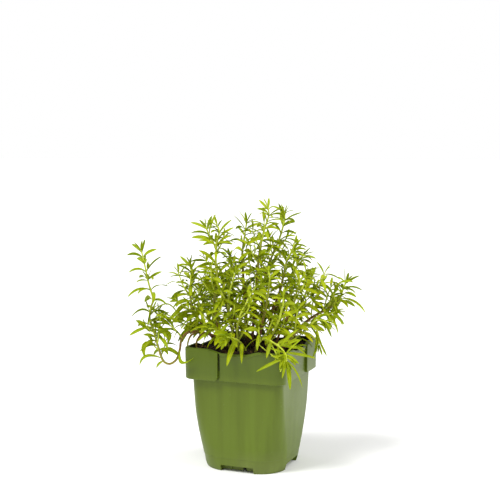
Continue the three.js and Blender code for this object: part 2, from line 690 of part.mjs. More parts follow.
// One leaf of a pair or of a tip's tuft, in the way that a try gives it
function leafFrom(plan, attempt) {
  const turn = THREE.MathUtils.degToRad(plan.turn + attempt.turn);
  const open = THREE.MathUtils.degToRad(Math.max(plan.open + attempt.open, 8));
  const { centre, along } = plan.place;
  const first = turned([1, 0, 0]);
  first.addScaledVector(along, -first.dot(along)).normalize();
  const second = along.clone().cross(first);
  const out = first.multiplyScalar(Math.cos(turn)).addScaledVector(second, Math.sin(turn));
  const start = along.clone().multiplyScalar(Math.cos(open)).addScaledVector(out, Math.sin(open));
  const end = start.clone().addScaledVector(UP, -plan.droop).normalize();
  const length = plan.length * attempt.scale;
  const root = centre.clone();
  const control = root.clone().addScaledVector(start, length * 0.5);
  const tip = control.clone().addScaledVector(end, length * 0.5);
  const face = along.clone().addScaledVector(UP, BLADE_LIFT).addScaledVector(out.cross(along), plan.roll);
  return { root, control, tip, face, half: plan.half * attempt.scale };
}

// How far each pair of leaves lies below a shoot's tip: closer together toward the tip
function pairDepths(leafy) {
  const depths = [];
  for (let pair = 0; ; pair += 1) {
    const depth = TIP_PAIR_DEPTH + pair * PAIR_SPACING + pair * pair * SPACING_GROWTH;
    if (depth > leafy) return depths;
    depths.push(depth);
  }
}

// The leaves of one shoot: a small upright pair at the tip, then crossed pairs that open wider,
// droop more and grow longer down the stem
function leafPlans(line, bare, firstTurn, usual, draw) {
  const plans = [];
  const tipPair = { depth: 0.8, open: 17, droop: 0.25, length: 0.58 };
  const lower = pairDepths(line.length - bare).map((depth) => {
    const age = Math.min(depth / AGEING_DEPTH, 1);
    return { depth, open: 32 + 28 * age, droop: 0.6 + 0.6 * age, length: 0.74 + 0.45 * age ** 0.6 };
  });
  [tipPair, ...lower].forEach((pair, order) => {
    for (let side = 0; side < 2; side += 1) {
      plans.push({
        place: placeOn(line, line.length - pair.depth),
        turn: firstTurn + order * 90 + side * 180 + (draw() - 0.5) * 24,
        open: pair.open + (draw() - 0.5) * 16,
        droop: pair.droop * (0.6 + 0.8 * draw()),
        length: usual * pair.length * (0.85 + 0.3 * draw()),
        half: usual * (0.075 + 0.045 * pair.length + 0.02 * draw()),
        roll: (draw() - 0.5) * BLADE_ROLL,
      });
    }
  });
  return plans;
}

function boxesMeet(a, b) {
  return [0, 1, 2].every((axis) => a.min[axis] < b.max[axis] && b.min[axis] < a.max[axis]);
}

const pot = makePot();
let soil = makeSoil();
const standing = [];

function stand(owner, solid) {
  standing.push({ owner, solid, bounds: solid.boundingBox() });
}

function isClear(owner, solid) {
  const bounds = solid.boundingBox();
  return standing.every((other) => {
    if (other.owner === owner || !boxesMeet(bounds, other.bounds)) return true;
    const shared = solid.intersect(other.solid);
    const clear = shared.isEmpty();
    shared.delete();
    return clear;
  });
}

stand('pot', pot);
stand('soil', soil);

// A broad leaf curls from its place on the stem, pulled toward one point, to its own tip, and
// turns its top outward
function broadBlade(line, { at, by, tip, half }) {
  const root = heartOf(line, at);
  return bladeSolid({ root, control: turned(by), tip: turned(tip), face: turned(BROAD_FACE), half }, 0);
}

// The stems, side shoots and broad leaves come first, so that every other leaf can keep clear of
// all of them
const plants = STEMS.map((stem) => {
  const draw = drawsFrom(stem.seed);
  const main = { line: centreLine(stem.line), bare: stem.bare, radius: stem.radius };
  const shoots = stem.shoots.map(({ line, bare }) => {
    return { line: centreLine(line), bare, radius: SIDE_SHOOT_RADIUS };
  });
  const branches = [main, ...shoots];
  for (const branch of branches) {
    branch.turn = FIRST_TURN + FIRST_TURN_SPREAD * draw();
    branch.solid = stemSolid(branch.line, branch.turn, branch.radius);
    stand(stem.name, branch.solid);
  }
  soil = soil.subtract(stemSolid(main.line, main.turn, main.radius, HOLE_STEPS));
  const broad = (stem.broad || []).map((leaf) => broadBlade(main.line, leaf));
  for (const blade of broad) stand(stem.name, blade);
  return { stem, branches, broad, draw };
});

function leafyStem({ stem, branches, broad, draw }) {
  let body = branches[0].solid;
  for (const piece of [...branches.slice(1).map((branch) => branch.solid), ...broad]) body = body.add(piece);
  for (const branch of branches) {
    for (const plan of leafPlans(branch.line, branch.bare, branch.turn, stem.leaf, draw)) {
      const attempt = LEAF_TRIES.find((way) => {
        return isClear(stem.name, bladeSolid(leafFrom(plan, way), CLEARANCE));
      });
      if (!attempt) continue;
      const blade = bladeSolid(leafFrom(plan, attempt), 0);
      stand(stem.name, blade);
      body = body.add(blade);
    }
  }
  return body;
}

const group = new THREE.Group();
group.add(meshOf('pot', pot, { color: 0x6f7d34, roughness: 0.55, metalness: 0 }));
const leafyMeshes = plants.map((plant) => {
  return meshOf(plant.stem.name, leafyStem(plant), { color: 0x8aa321, roughness: 0.6, metalness: 0 });
});
group.add(meshOf('soil', soil, { color: 0x2b2415, roughness: 0.95, metalness: 0 }));
for (const mesh of leafyMeshes) group.add(mesh);

export default group;
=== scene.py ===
# %% [markdown]
# # A potted winter savory
#
# The object is a young winter savory, a woody kitchen herb, in a square green nursery pot. Its
# measured solids are already packed as a fixed frame: one pot, one block of soil and 26 leafy
# stems, each with plain four-sided stalks and three-sided blades. This lesson dresses that frame.
# Every piece is built again as a finer mesh in the place of its solid, and gets a procedural
# finish. All lengths in the tables are millimetres, and `MM` turns them into Blender's metres.

# %% Load the frame
import json
import math
from itertools import combinations

import bpy
import numpy as np
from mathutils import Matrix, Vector, noise
from mathutils.kdtree import KDTree

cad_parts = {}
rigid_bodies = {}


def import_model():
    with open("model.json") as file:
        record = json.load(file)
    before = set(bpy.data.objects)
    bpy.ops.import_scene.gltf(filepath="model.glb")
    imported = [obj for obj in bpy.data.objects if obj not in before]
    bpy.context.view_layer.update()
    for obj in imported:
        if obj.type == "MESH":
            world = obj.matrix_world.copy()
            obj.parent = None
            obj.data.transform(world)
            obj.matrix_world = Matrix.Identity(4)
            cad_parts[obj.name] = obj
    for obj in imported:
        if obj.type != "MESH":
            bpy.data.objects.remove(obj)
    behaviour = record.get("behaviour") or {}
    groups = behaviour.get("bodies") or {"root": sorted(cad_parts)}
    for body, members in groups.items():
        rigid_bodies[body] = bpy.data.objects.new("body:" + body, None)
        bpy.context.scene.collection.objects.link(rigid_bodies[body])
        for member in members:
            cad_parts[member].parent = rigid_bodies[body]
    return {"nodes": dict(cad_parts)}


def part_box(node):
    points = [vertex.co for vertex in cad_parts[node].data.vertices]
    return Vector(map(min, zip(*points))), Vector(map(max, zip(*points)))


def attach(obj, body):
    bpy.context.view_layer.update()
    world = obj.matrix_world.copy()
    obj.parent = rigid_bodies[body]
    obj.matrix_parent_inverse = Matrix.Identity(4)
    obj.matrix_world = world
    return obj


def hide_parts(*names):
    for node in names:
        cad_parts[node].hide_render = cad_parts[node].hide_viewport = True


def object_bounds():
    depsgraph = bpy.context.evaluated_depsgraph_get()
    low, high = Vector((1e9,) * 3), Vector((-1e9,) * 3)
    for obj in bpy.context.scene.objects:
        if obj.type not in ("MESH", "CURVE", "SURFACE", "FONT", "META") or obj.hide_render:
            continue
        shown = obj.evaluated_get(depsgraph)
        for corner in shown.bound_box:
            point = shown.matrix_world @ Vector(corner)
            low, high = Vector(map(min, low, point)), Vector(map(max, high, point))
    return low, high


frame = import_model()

MM = 0.001
cad_low, cad_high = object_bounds()
print("nodes:", len(frame["nodes"]), "size in mm:", [round(side / MM, 1) for side in cad_high - cad_low])

# %% [markdown]
# ## Camera
#
# The photo looks slightly down at the pot from the left of its near corner. The pot's own corners
# gave the numbers: how far the view is turned, how far it looks down, the distance and the lens.
# The camera aims at a point close to the pot's axis and is placed by walking backward from it.

# %% Place the camera
CAMERA_TURN = math.radians(21.23)
CAMERA_DOWN = math.radians(5.4)
CAMERA_DISTANCE = 915.4
CAMERA_AIM_SIDE = -2.04
CAMERA_AIM_HEIGHT = 189.5
CAMERA_LENS = 75.07
CAMERA_SENSOR = 36


def put_in_scene(name, data):
    thing = bpy.data.objects.new(name, data)
    bpy.context.scene.collection.objects.link(thing)
    return thing


view_right = Vector((math.cos(CAMERA_TURN), math.sin(CAMERA_TURN), 0))
view_level = Vector((-math.sin(CAMERA_TURN), math.cos(CAMERA_TURN), 0))
view_forward = view_level * math.cos(CAMERA_DOWN) - Vector((0, 0, math.sin(CAMERA_DOWN)))
aim = (view_right * CAMERA_AIM_SIDE + Vector((0, 0, CAMERA_AIM_HEIGHT))) * MM

camera = put_in_scene("camera", bpy.data.cameras.new("camera"))
camera.data.lens = CAMERA_LENS
camera.data.sensor_width = CAMERA_SENSOR
camera.location = aim - view_forward * CAMERA_DISTANCE * MM
camera.rotation_euler = view_forward.to_track_quat("-Z", "Y").to_euler()
bpy.context.scene.camera = camera
print("camera stands", round(camera.location.z / MM), "mm above the floor")

# %% [markdown]
# ## Light and floor
#
# The photo is a high-key studio picture: the plant stands in front of white, lit from all round,
# with no hard shadow. A pale world gives that even light and is what the plastic mirrors at a
# glancing angle, and the camera sees it as plain white. Two wide suns give the leaves their
# bright upper sides and darker undersides, and light the whole floor alike. The standard view
# keeps the greens as fresh as they are, where a film-like view would wash them out.

# %% Light the studio
WORLD_LIGHT = 0.63
WORLD_SEEN = 1.0
SUNS = {
    "sun_above_left": dict(comes_from=(-0.5, -0.75, 1.35), strength=2.3, spread=20),
    "sun_above_right": dict(comes_from=(1.0, 0.25, 0.9), strength=1.5, spread=50),
}

world = bpy.data.worlds.new("white_studio")
world.use_nodes = True
sky = world.node_tree.nodes["Background"]
sky.inputs["Color"].default_value = (1, 1, 1, 1)
seen = world.node_tree.nodes.new("ShaderNodeMapRange")
seen.inputs["To Min"].default_value = WORLD_LIGHT
seen.inputs["To Max"].default_value = WORLD_SEEN
straight = world.node_tree.nodes.new("ShaderNodeLightPath").outputs["Is Camera Ray"]
world.node_tree.links.new(straight, seen.inputs["Value"])
world.node_tree.links.new(seen.outputs["Result"], sky.inputs["Strength"])
bpy.context.scene.world = world
bpy.context.scene.view_settings.view_transform = "Standard"

for name, sun in SUNS.items():
    data = bpy.data.lights.new(name, "SUN")
    data.energy = sun["strength"]
    data.angle = math.radians(sun["spread"])
    comes_from = Vector(sun["comes_from"])
    put_in_scene(name, data).rotation_euler = (-comes_from).to_track_quat("-Z", "Y").to_euler()
print("suns:", ", ".join(SUNS))

# %% [markdown]
# ## Small helpers for materials
#
# A finish here is a short chain of nodes. `plug` puts a value or another node's output into a
# socket, `add_node` makes a node with its settings, and `mix_colours` lays one colour over another
# where a mask says so. `spread` moves a range of values to another range, and `calculate` is one
# step of arithmetic. Colours are written as seen on a screen and turned into linear light. A mix
# node has sockets for every kind of value, so those for colours are found by their numbers.

# %% Material helpers
MIX_MASK, MIX_UNDER, MIX_OVER, MIX_RESULT = 0, 6, 7, 2


def plug(tree, value, socket):
    if isinstance(value, bpy.types.NodeSocket):
        tree.links.new(value, socket)
    else:
        socket.default_value = value


def add_node(tree, kind, inputs=None, **settings):
    node = tree.nodes.new(kind)
    for name, value in settings.items():
        setattr(node, name, value)
    for name, value in (inputs or {}).items():
        plug(tree, value, node.inputs[name])
    return node


def seen_colour(red, green, blue):
    levels = [level / 255 for level in (red, green, blue)]
    steady = [level / 12.92 if level < 0.04045 else ((level + 0.055) / 1.055) ** 2.4 for level in levels]
    return (*steady, 1)


def mix_colours(tree, mask, under, over):
    node = tree.nodes.new("ShaderNodeMix")
    node.data_type = "RGBA"
    plug(tree, mask, node.inputs[MIX_MASK])
    plug(tree, under, node.inputs[MIX_UNDER])
    plug(tree, over, node.inputs[MIX_OVER])
    return node.outputs[MIX_RESULT]


def spread(tree, value, low, high, to_low=0.0, to_high=1.0):
    node = add_node(tree, "ShaderNodeMapRange", {"Value": value, "From Min": low, "From Max": high,
                                                 "To Min": to_low, "To Max": to_high})
    return node.outputs["Result"]


def calculate(tree, operation, first, second=0.0):
    node = tree.nodes.new("ShaderNodeMath")
    node.operation = operation
    plug(tree, first, node.inputs[0])
    plug(tree, second, node.inputs[1])
    return node.outputs[0]


def multiply(tree, first, second):
    return calculate(tree, "MULTIPLY", first, second)


print("middle grey in linear light:", round(seen_colour(128, 128, 128)[0], 3))

# %% [markdown]
# A finish starts with `new_material`, and those of the pot, the soil and the plant end with
# `surface`, which takes a colour, a roughness and a relief. `let_light_through` is for thin and
# living parts. `object_place` gives a pattern the place on the object itself, so that the finish
# doesn't swim when a piece moves.

# %% Start and complete a material
def new_material(name, specular):
    material = bpy.data.materials.new(name)
    material.use_nodes = True
    tree = material.node_tree
    shader = tree.nodes["Principled BSDF"]
    shader.inputs["Specular IOR Level"].default_value = specular
    return material, tree, shader


def let_light_through(shader, weight, radius, scale):
    shader.inputs["Subsurface Weight"].default_value = weight
    shader.inputs["Subsurface Radius"].default_value = radius
    shader.inputs["Subsurface Scale"].default_value = scale


def surface(tree, shader, colour, rough, relief, strength, distance):
    plug(tree, colour, shader.inputs["Base Color"])
    plug(tree, rough, shader.inputs["Roughness"])
    bump = add_node(tree, "ShaderNodeBump", {"Height": relief, "Strength": strength, "Distance": distance})
    plug(tree, bump.outputs["Normal"], shader.inputs["Normal"])


def object_place(tree):
    return tree.nodes.new("ShaderNodeTexCoord").outputs["Object"]


print("a surface has a colour, a roughness and a relief")

# %% [markdown]
# ## Effects that several finishes share
#
# Nothing on this object is one flat colour. Three small node groups give every finish its
# unevenness: `fine_grain` is the smallest roughness of plastic, soil, leaf skin and bark, `mottle`
# is a soft cloud of patches, and `upright_streaks` is a noise drawn out along the height, as flow
# lines in moulded plastic and as the fibres of a stem. Each is built once and placed in a
# material with values of its own.

# %% Build the shared node groups
def new_group(name, inputs, output):
    group = bpy.data.node_groups.new(name, "ShaderNodeTree")
    for label, value in inputs.items():
        socket = group.interface.new_socket(label, in_out="INPUT", socket_type="NodeSocketFloat")
        socket.default_value = value
    group.interface.new_socket(output, in_out="OUTPUT", socket_type="NodeSocketFloat")
    return group, group.nodes.new("NodeGroupInput"), group.nodes.new("NodeGroupOutput")


def build_fine_grain():
    group, given, result = new_group("fine_grain", {"Scale": 900.0, "Detail": 3.0}, "Value")
    place = object_place(group)
    grain = add_node(group, "ShaderNodeTexNoise", {"Vector": place, "Scale": given.outputs["Scale"],
                                                   "Detail": given.outputs["Detail"]})
    plug(group, grain.outputs["Fac"], result.inputs["Value"])
    return group


def build_mottle():
    group, given, result = new_group("mottle", {"Scale": 60.0, "Low": 0.4, "High": 0.62}, "Mask")
    place = object_place(group)
    cloud = add_node(group, "ShaderNodeTexNoise", {"Vector": place, "Scale": given.outputs["Scale"],
                                                   "Detail": 5.0, "Roughness": 0.6})
    patch = add_node(group, "ShaderNodeMapRange", {"Value": cloud.outputs["Fac"],
                                                   "From Min": given.outputs["Low"],
                                                   "From Max": given.outputs["High"]})
    patch.interpolation_type = "SMOOTHSTEP"
    plug(group, patch.outputs["Result"], result.inputs["Mask"])
    return group


def build_upright_streaks():
    group, given, result = new_group("upright_streaks", {"Scale": 300.0, "Stretch": 0.04}, "Value")
    place = object_place(group)
    apart = add_node(group, "ShaderNodeSeparateXYZ", {"Vector": place})
    height = multiply(group, apart.outputs["Z"], given.outputs["Stretch"])
    drawn = add_node(group, "ShaderNodeCombineXYZ", {"X": apart.outputs["X"], "Y": apart.outputs["Y"],
                                                     "Z": height})
    streak = add_node(group, "ShaderNodeTexNoise", {"Vector": drawn.outputs["Vector"],
                                                    "Scale": given.outputs["Scale"], "Detail": 4.0})
    plug(group, streak.outputs["Fac"], result.inputs["Value"])
    return group


SHARED = {
    "fine_grain": build_fine_grain(),
    "mottle": build_mottle(),
    "upright_streaks": build_upright_streaks(),
}


def place_group(tree, name, **values):
    node = tree.nodes.new("ShaderNodeGroup")
    node.node_tree = SHARED[name]
    for label, value in values.items():
        plug(tree, value, node.inputs[label])
    return node.outputs[0]


print("shared groups:", ", ".join(SHARED))

# %% Lay the floor
FLOOR_REACH = 30000
FLOOR_SHADE = seen_colour(247, 247, 246)
FLOOR_WHITE = seen_colour(252, 252, 251)


def floor_material():
    material, tree, shader = new_material("pale_floor", specular=0.1)
    cloud = place_group(tree, "mottle", Scale=1.5)
    plug(tree, mix_colours(tree, cloud, FLOOR_SHADE, FLOOR_WHITE), shader.inputs["Base Color"])
    plug(tree, spread(tree, cloud, 0.0, 1.0, 0.75, 0.85), shader.inputs["Roughness"])
    return material


floor_mesh = bpy.data.meshes.new("floor")
reach = FLOOR_REACH * MM
floor_mesh.from_pydata([(-reach, -reach, 0), (reach, -reach, 0), (reach, reach, 0), (-reach, reach, 0)],
                       [], [(0, 1, 2, 3)])
floor_mesh.materials.append(floor_material())
floor = put_in_scene("floor", floor_mesh)
print("floor reaches", FLOOR_REACH, "mm to each side")

# %% [markdown]
# ## Stacks of rounded squares
#
# The pot, its corner pads and the soil are all stacks of rounded squares. `square_ring` gives
# the points round one of them, and `square_body` joins a stack into a closed skin, with a single
# point where a stack starts or ends in the middle. A lathe would make circles, and a
# subdivided box would lose the measured corner radii, so the rings are calculated.

# %% Rings and bodies
RIM_DIP = 3.0
DIP_FLAT = 0.27
DIP_END = 0.64
SIDE_STEPS = 26
CORNER_STEPS = 12
QUARTER_TURNS = ((1, 0), (0, 1), (-1, 0), (0, -1))


def dip_at(place):
    share = min(max((DIP_END - abs(place)) / (DIP_END - DIP_FLAT), 0), 1)
    return share * share * (3 - 2 * share)


def square_ring(half, corner):
    straight = half - corner
    quarter = [(half, (2 * step / SIDE_STEPS - 1) * straight, dip_at(2 * step / SIDE_STEPS - 1))
               for step in range(SIDE_STEPS + 1)]
    for step in range(1, CORNER_STEPS):
        angle = step / CORNER_STEPS * math.pi / 2
        quarter.append((straight + corner * math.cos(angle), straight + corner * math.sin(angle), 0))
    ring = []
    for turn_cos, turn_sin in QUARTER_TURNS:
        ring += [(x * turn_cos - y * turn_sin, x * turn_sin + y * turn_cos, dip) for x, y, dip in quarter]
    return ring


def new_piece(name, points, faces):
    mesh = bpy.data.meshes.new(name)
    mesh.from_pydata([tuple(value * MM for value in point) for point in points], [], faces)
    return put_in_scene(name, mesh)


def square_body(name, profile, closed=False):
    points, faces, rows = [], [], []
    for z, half, corner, dips in profile:
        if half == 0:
            rows.append([len(points)])
            points.append((0, 0, z))
            continue
        ring = square_ring(half, corner)
        rows.append(range(len(points), len(points) + len(ring)))
        points += [(x, y, z - RIM_DIP * dip * dips) for x, y, dip in ring]
    pairs = list(zip(rows, rows[1:])) + ([(rows[-1], rows[0])] if closed else [])
    for lower, upper in pairs:
        around = max(len(lower), len(upper))
        for step in range(around):
            after = (step + 1) % around
            corners = [lower[step % len(lower)], lower[after % len(lower)],
                       upper[after % len(upper)], upper[step % len(upper)]]
            faces.append(list(dict.fromkeys(corners)))
    return new_piece(name, points, faces)


print("points in one ring:", 4 * (SIDE_STEPS + CORNER_STEPS))

# %% [markdown]
# ## The pot's shell
#
# A nursery pot is injection moulded in one shot from thin polypropylene. Its body bows outward
# while the corners grow rounder toward the base, so that pots stack and slip out of the mould.
# A deep collar stiffens the top, and its rim dips a little in the middle of each side. The body
# and the collar are two stacks of rings. A row of `BODY_LEVELS` holds a height, the half width
# there and the corner radius. The levels between these come from a smooth curve through them,
# which is what makes the bow look moulded and not folded. A row of the small tables for the
# collar and its lip holds a height above a level, how far the skin stands proud there, and how
# much rounder its corner is.

# %% Sizes of the pot
POT_HEIGHT = 108.0
RIM_HALF = 45.0
RIM_CORNER = 8.5
COLLAR_BOTTOM = 80.6
COLLAR_HALF_LOW = 44.6
BODY_HALF_TOP = 41.4
BODY_CORNER_TOP = 7.5
BASE_HALF = 36.4
BASE_CORNER = 24.0
WALL = 1.4
INSIDE_FROM = 20.0
LIP_PROUD = 0.7
LIP_DEPTH = 2.6
COLLAR_FOOT = [(0, -0.4, -0.4), (0.15, -0.1, -0.1), (0.5, 0, 0), (9, 0.13, 0)]
LIP_FOOT = [(-0.3, 0, 0), (0, 0.15, 0.15), (0.3, LIP_PROUD, LIP_PROUD)]
LIP_TOP = [(-0.7, LIP_PROUD, LIP_PROUD), (-0.25, 0.55, 0.55), (-0.05, 0.2, 0.1), (0, -0.2, -0.2),
           (-0.1, -0.9, -0.9), (-0.8, -WALL, -WALL)]
FLOOR_UNDERSIDE = 5.0
FLOOR_THICKNESS = 1.6
FOOT_RING_HALF = 30.4
FOOT_RING_CORNER = 18.0
BOSS_RADIUS = 8.0
BOSS_DRAFT = 0.5
NEARLY_ROUND = 0.1
BODY_LEVELS = [(0, 36.0, 23.8), (0.5, BASE_HALF, BASE_CORNER), (4, 37.4, 24.4), (11.5, 38.3, 24),
               (11.8, 38.35, 23.9), (12.1, 38.6, 23.8), (22, 39.4, 20.5), (35, 40.2, 16),
               (50, 40.9, 12), (65, 41.2, 9.5), (COLLAR_BOTTOM, BODY_HALF_TOP, BODY_CORNER_TOP)]
print("the pot is", POT_HEIGHT, "mm high and", 2 * RIM_HALF, "mm across its collar")

# %% The bow of the body
BOWED_FROM = 5
LEVELS_BETWEEN = 4


def through(values, share):
    before, start, end, after = values
    rise, fall = 0.5 * (end - before), 0.5 * (after - start)
    return (start + rise * share + (3 * (end - start) - 2 * rise - fall) * share ** 2
            + (2 * (start - end) + rise + fall) * share ** 3)


def bowed_levels():
    levels = [(z, half, corner, 0) for z, half, corner in BODY_LEVELS[:BOWED_FROM + 1]]
    for first in range(BOWED_FROM, len(BODY_LEVELS) - 1):
        window = [BODY_LEVELS[min(max(first + offset, BOWED_FROM), len(BODY_LEVELS) - 1)]
                  for offset in (-1, 0, 1, 2)]
        for step in range(1, LEVELS_BETWEEN + 1):
            share = step / LEVELS_BETWEEN
            z = window[1][0] + (window[2][0] - window[1][0]) * share
            half, corner = (through([level[column] for level in window], share) for column in (1, 2))
            levels.append((z, half, corner, 0))
    return levels


print("levels on the outside of the body:", len(bowed_levels()))

# %% The body and the collar
def rows_at(level, half, corner, steps, dips=0):
    return [(level + rise, half + proud, corner + rounder, dips) for rise, proud, rounder in steps]


def pot_body():
    outside = bowed_levels()
    floor_top = FLOOR_UNDERSIDE + FLOOR_THICKNESS
    top = COLLAR_BOTTOM + WALL / 2
    boss_top = BOSS_RADIUS + BOSS_DRAFT
    inside = [(z, half - WALL, corner - WALL, 0) for z, half, corner, _ in outside if z > INSIDE_FROM]
    return square_body("nursery_pot", [
        (0, 0, 0, 0),
        (0, BOSS_RADIUS, BOSS_RADIUS - NEARLY_ROUND, 0),
        (FLOOR_UNDERSIDE, boss_top, boss_top - NEARLY_ROUND, 0),
        (FLOOR_UNDERSIDE, FOOT_RING_HALF, FOOT_RING_CORNER, 0),
        (0, FOOT_RING_HALF, FOOT_RING_CORNER, 0),
        *outside,
        (top, BODY_HALF_TOP, BODY_CORNER_TOP, 0),
        (top, BODY_HALF_TOP - WALL, BODY_CORNER_TOP - WALL, 0),
        *reversed(inside[:-1]),
        (floor_top, BASE_HALF - WALL, BASE_CORNER - WALL, 0),
        (floor_top, 0, 0, 0),
    ])


def pot_collar():
    shelf = (BODY_HALF_TOP - WALL / 2, BODY_CORNER_TOP - WALL / 2)
    return square_body("collar", [
        (COLLAR_BOTTOM, *shelf, 0),
        *rows_at(COLLAR_BOTTOM, COLLAR_HALF_LOW, RIM_CORNER, COLLAR_FOOT),
        *rows_at(POT_HEIGHT - LIP_DEPTH, RIM_HALF, RIM_CORNER, LIP_FOOT, dips=1),
        *rows_at(POT_HEIGHT, RIM_HALF, RIM_CORNER, LIP_TOP, dips=1),
        (COLLAR_BOTTOM + WALL, COLLAR_HALF_LOW - WALL, RIM_CORNER - WALL, 0),
        (COLLAR_BOTTOM + WALL, *shelf, 0),
    ], closed=True)


pot = pot_body()
collar = pot_collar()
print("pot skin:", len(pot.data.polygons), "faces, collar:", len(collar.data.polygons))

# %% [markdown]
# ## Pads, slits and foot windows
#
# Two opposite corners carry a raised pad for a label or a carrying tray, and a narrow slit runs
# round each. Between the four feet the wall is cut back into a low window with a rib and a drain
# notch. These are hard-edged features, so they are made as separate closed tools and joined or cut
# with exact booleans, which are then settled into the mesh.

# %% Sizes of the pads and windows
PAD_PROUD = 1.8
PAD_ARM = 31.0
PAD_ROUND = 4.0
PAD_ROUND_STEPS = 8
PAD_EDGE = 0.8
PAD_FOOT = [(0, -PAD_EDGE, 0), (0.4, -0.4, 0), (1, -0.2, 0)]
PAD_HEAD = [(-PAD_EDGE, 0, 0), (-0.3, -0.2, 0), (0, -PAD_EDGE, 0)]
PAD_TOP = POT_HEIGHT - 0.3
PAD_SINK = 0.3
PAD_CUT_REACH = 5
SLIT_TOP = POT_HEIGHT - 3.4
SLIT_WIDTH = 1.5
SLIT_DEPTH = 0.8
WINDOW_HALF = 15.0
WINDOW_HEIGHT = 5.4
WINDOW_WALL = 1.3
WINDOW_WALL_LIFT = 0.8
RIB_AT = -7.0
RIB_WIDTH = 1.4
RIB_DEPTH = 1.2
DRAIN_AT = 5.5
DRAIN_TOP = 2.0
DRAIN_BOTTOM = 5.0
DRAIN_HEIGHT = 4.4
CUT_PAST = 1
print("a pad stands", PAD_PROUD, "mm proud, and a window is", 2 * WINDOW_HALF, "mm wide")

# %% Outlines of the tools
def pushed_outline(name, outline, y0, y1):
    count = len(outline)
    points = [(x, y, z) for y in (y0, y1) for x, z in outline]
    faces = [list(range(count)), list(range(2 * count - 1, count - 1, -1))]
    for step in range(count):
        after = (step + 1) % count
        faces.append((step, step + count, after + count, after))
    return new_piece(name, points, faces)


def pad_outline(grow, top):
    end = -RIM_HALF + PAD_ARM + grow
    foot = COLLAR_BOTTOM - grow
    bend = PAD_ROUND + grow
    angles = [step / PAD_ROUND_STEPS * math.pi / 2 for step in range(PAD_ROUND_STEPS + 1)]
    arc = [(end - bend + bend * math.sin(angle), foot + bend - bend * math.cos(angle)) for angle in angles]
    outside = -RIM_HALF - PAD_CUT_REACH
    return [(outside, foot), *arc, (end, top), (outside, top)]


def box_outline(x0, x1, z0, z1):
    return [(x0, z0), (x1, z0), (x1, z1), (x0, z1)]


print("pad outline points:", len(pad_outline(0, PAD_TOP)))

# %% Move and combine the tools
def shift(piece, change):
    for vertex in piece.data.vertices:
        vertex.co = Vector(change(*vertex.co))
    return piece


def in_corner_diagonal(piece):
    shift(piece, lambda x, y, z: (y, x, z))
    piece.data.flip_normals()
    return piece


def combine(target, tool, operation):
    step = target.modifiers.new(operation.lower(), "BOOLEAN")
    step.operation = operation
    step.object = tool
    step.solver = "EXACT"
    bpy.context.view_layer.update()
    settled = bpy.data.meshes.new_from_object(target.evaluated_get(bpy.context.evaluated_depsgraph_get()))
    target.modifiers.clear()
    target.data = settled
    bpy.data.objects.remove(tool)
    return target


def corner_arms(name, grow, top, inside):
    outside = -RIM_HALF - PAD_CUT_REACH
    arms = [pushed_outline(name, pad_outline(grow, top), outside, inside) for _ in range(2)]
    return combine(arms[0], in_corner_diagonal(arms[1]), "UNION")


def turned_round(piece, turn):
    return shift(piece, lambda x, y, z: (x * turn[0] - y * turn[1], x * turn[1] + y * turn[0], z))


print("faces before the pads, slits and windows:", len(pot.data.polygons))

# %% Pads, slits and windows
SLIT_FLOOR = -COLLAR_HALF_LOW + SLIT_DEPTH


def pad_piece():
    half = RIM_HALF + PAD_PROUD
    block = square_body("pad", [
        (COLLAR_BOTTOM, 0, 0, 0),
        *rows_at(COLLAR_BOTTOM, half, RIM_CORNER, PAD_FOOT),
        *rows_at(PAD_TOP, half, RIM_CORNER, PAD_HEAD, dips=1),
        (PAD_TOP, 0, 0, 0),
    ])
    return combine(block, corner_arms("arms", 0, POT_HEIGHT, SLIT_FLOOR + PAD_SINK), "INTERSECT")


def slit_piece():
    return corner_arms("slit", SLIT_WIDTH, SLIT_TOP, SLIT_FLOOR)


def window_piece():
    back = -FOOT_RING_HALF - WINDOW_WALL
    rib_left = RIB_AT - RIB_WIDTH / 2
    recess = box_outline(-WINDOW_HALF, WINDOW_HALF, -CUT_PAST, WINDOW_HEIGHT)
    window = pushed_outline("window", recess, -BODY_HALF_TOP, back)
    rib = box_outline(rib_left, rib_left + RIB_WIDTH, 0, WINDOW_HEIGHT + CUT_PAST)
    combine(window, pushed_outline("rib", rib, back - RIB_DEPTH, back + CUT_PAST), "DIFFERENCE")
    lift = box_outline(-WINDOW_HALF, WINDOW_HALF, -CUT_PAST, WINDOW_WALL_LIFT)
    drain = [(DRAIN_AT - DRAIN_BOTTOM / 2, -CUT_PAST), (DRAIN_AT + DRAIN_BOTTOM / 2, -CUT_PAST),
             (DRAIN_AT + DRAIN_TOP / 2, DRAIN_HEIGHT), (DRAIN_AT - DRAIN_TOP / 2, DRAIN_HEIGHT)]
    for name, outline, past in (("lift", lift, CUT_PAST), ("drain", drain, 2 * CUT_PAST)):
        tool = pushed_outline(name, outline, back - 2 * CUT_PAST, -FOOT_RING_HALF + past)
        combine(window, tool, "UNION")
    return window


print("the slits are cut to", -SLIT_FLOOR, "mm from the pot's middle")

# %% Cut and join the pot
HALF_TURNS = QUARTER_TURNS[::2]
POT_SHARP = math.radians(32)

combine(pot, collar, "UNION")
for turn in HALF_TURNS:
    combine(pot, turned_round(slit_piece(), turn), "DIFFERENCE")
    combine(pot, turned_round(pad_piece(), turn), "UNION")
for turn in QUARTER_TURNS:
    combine(pot, turned_round(window_piece(), turn), "DIFFERENCE")
pot.data.shade_smooth()
pot.data.set_sharp_from_angle(angle=POT_SHARP)
pot_low, pot_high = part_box("pot")
print("pot faces:", len(pot.data.polygons), "solid's height:", round((pot_high - pot_low).z / MM, 1))

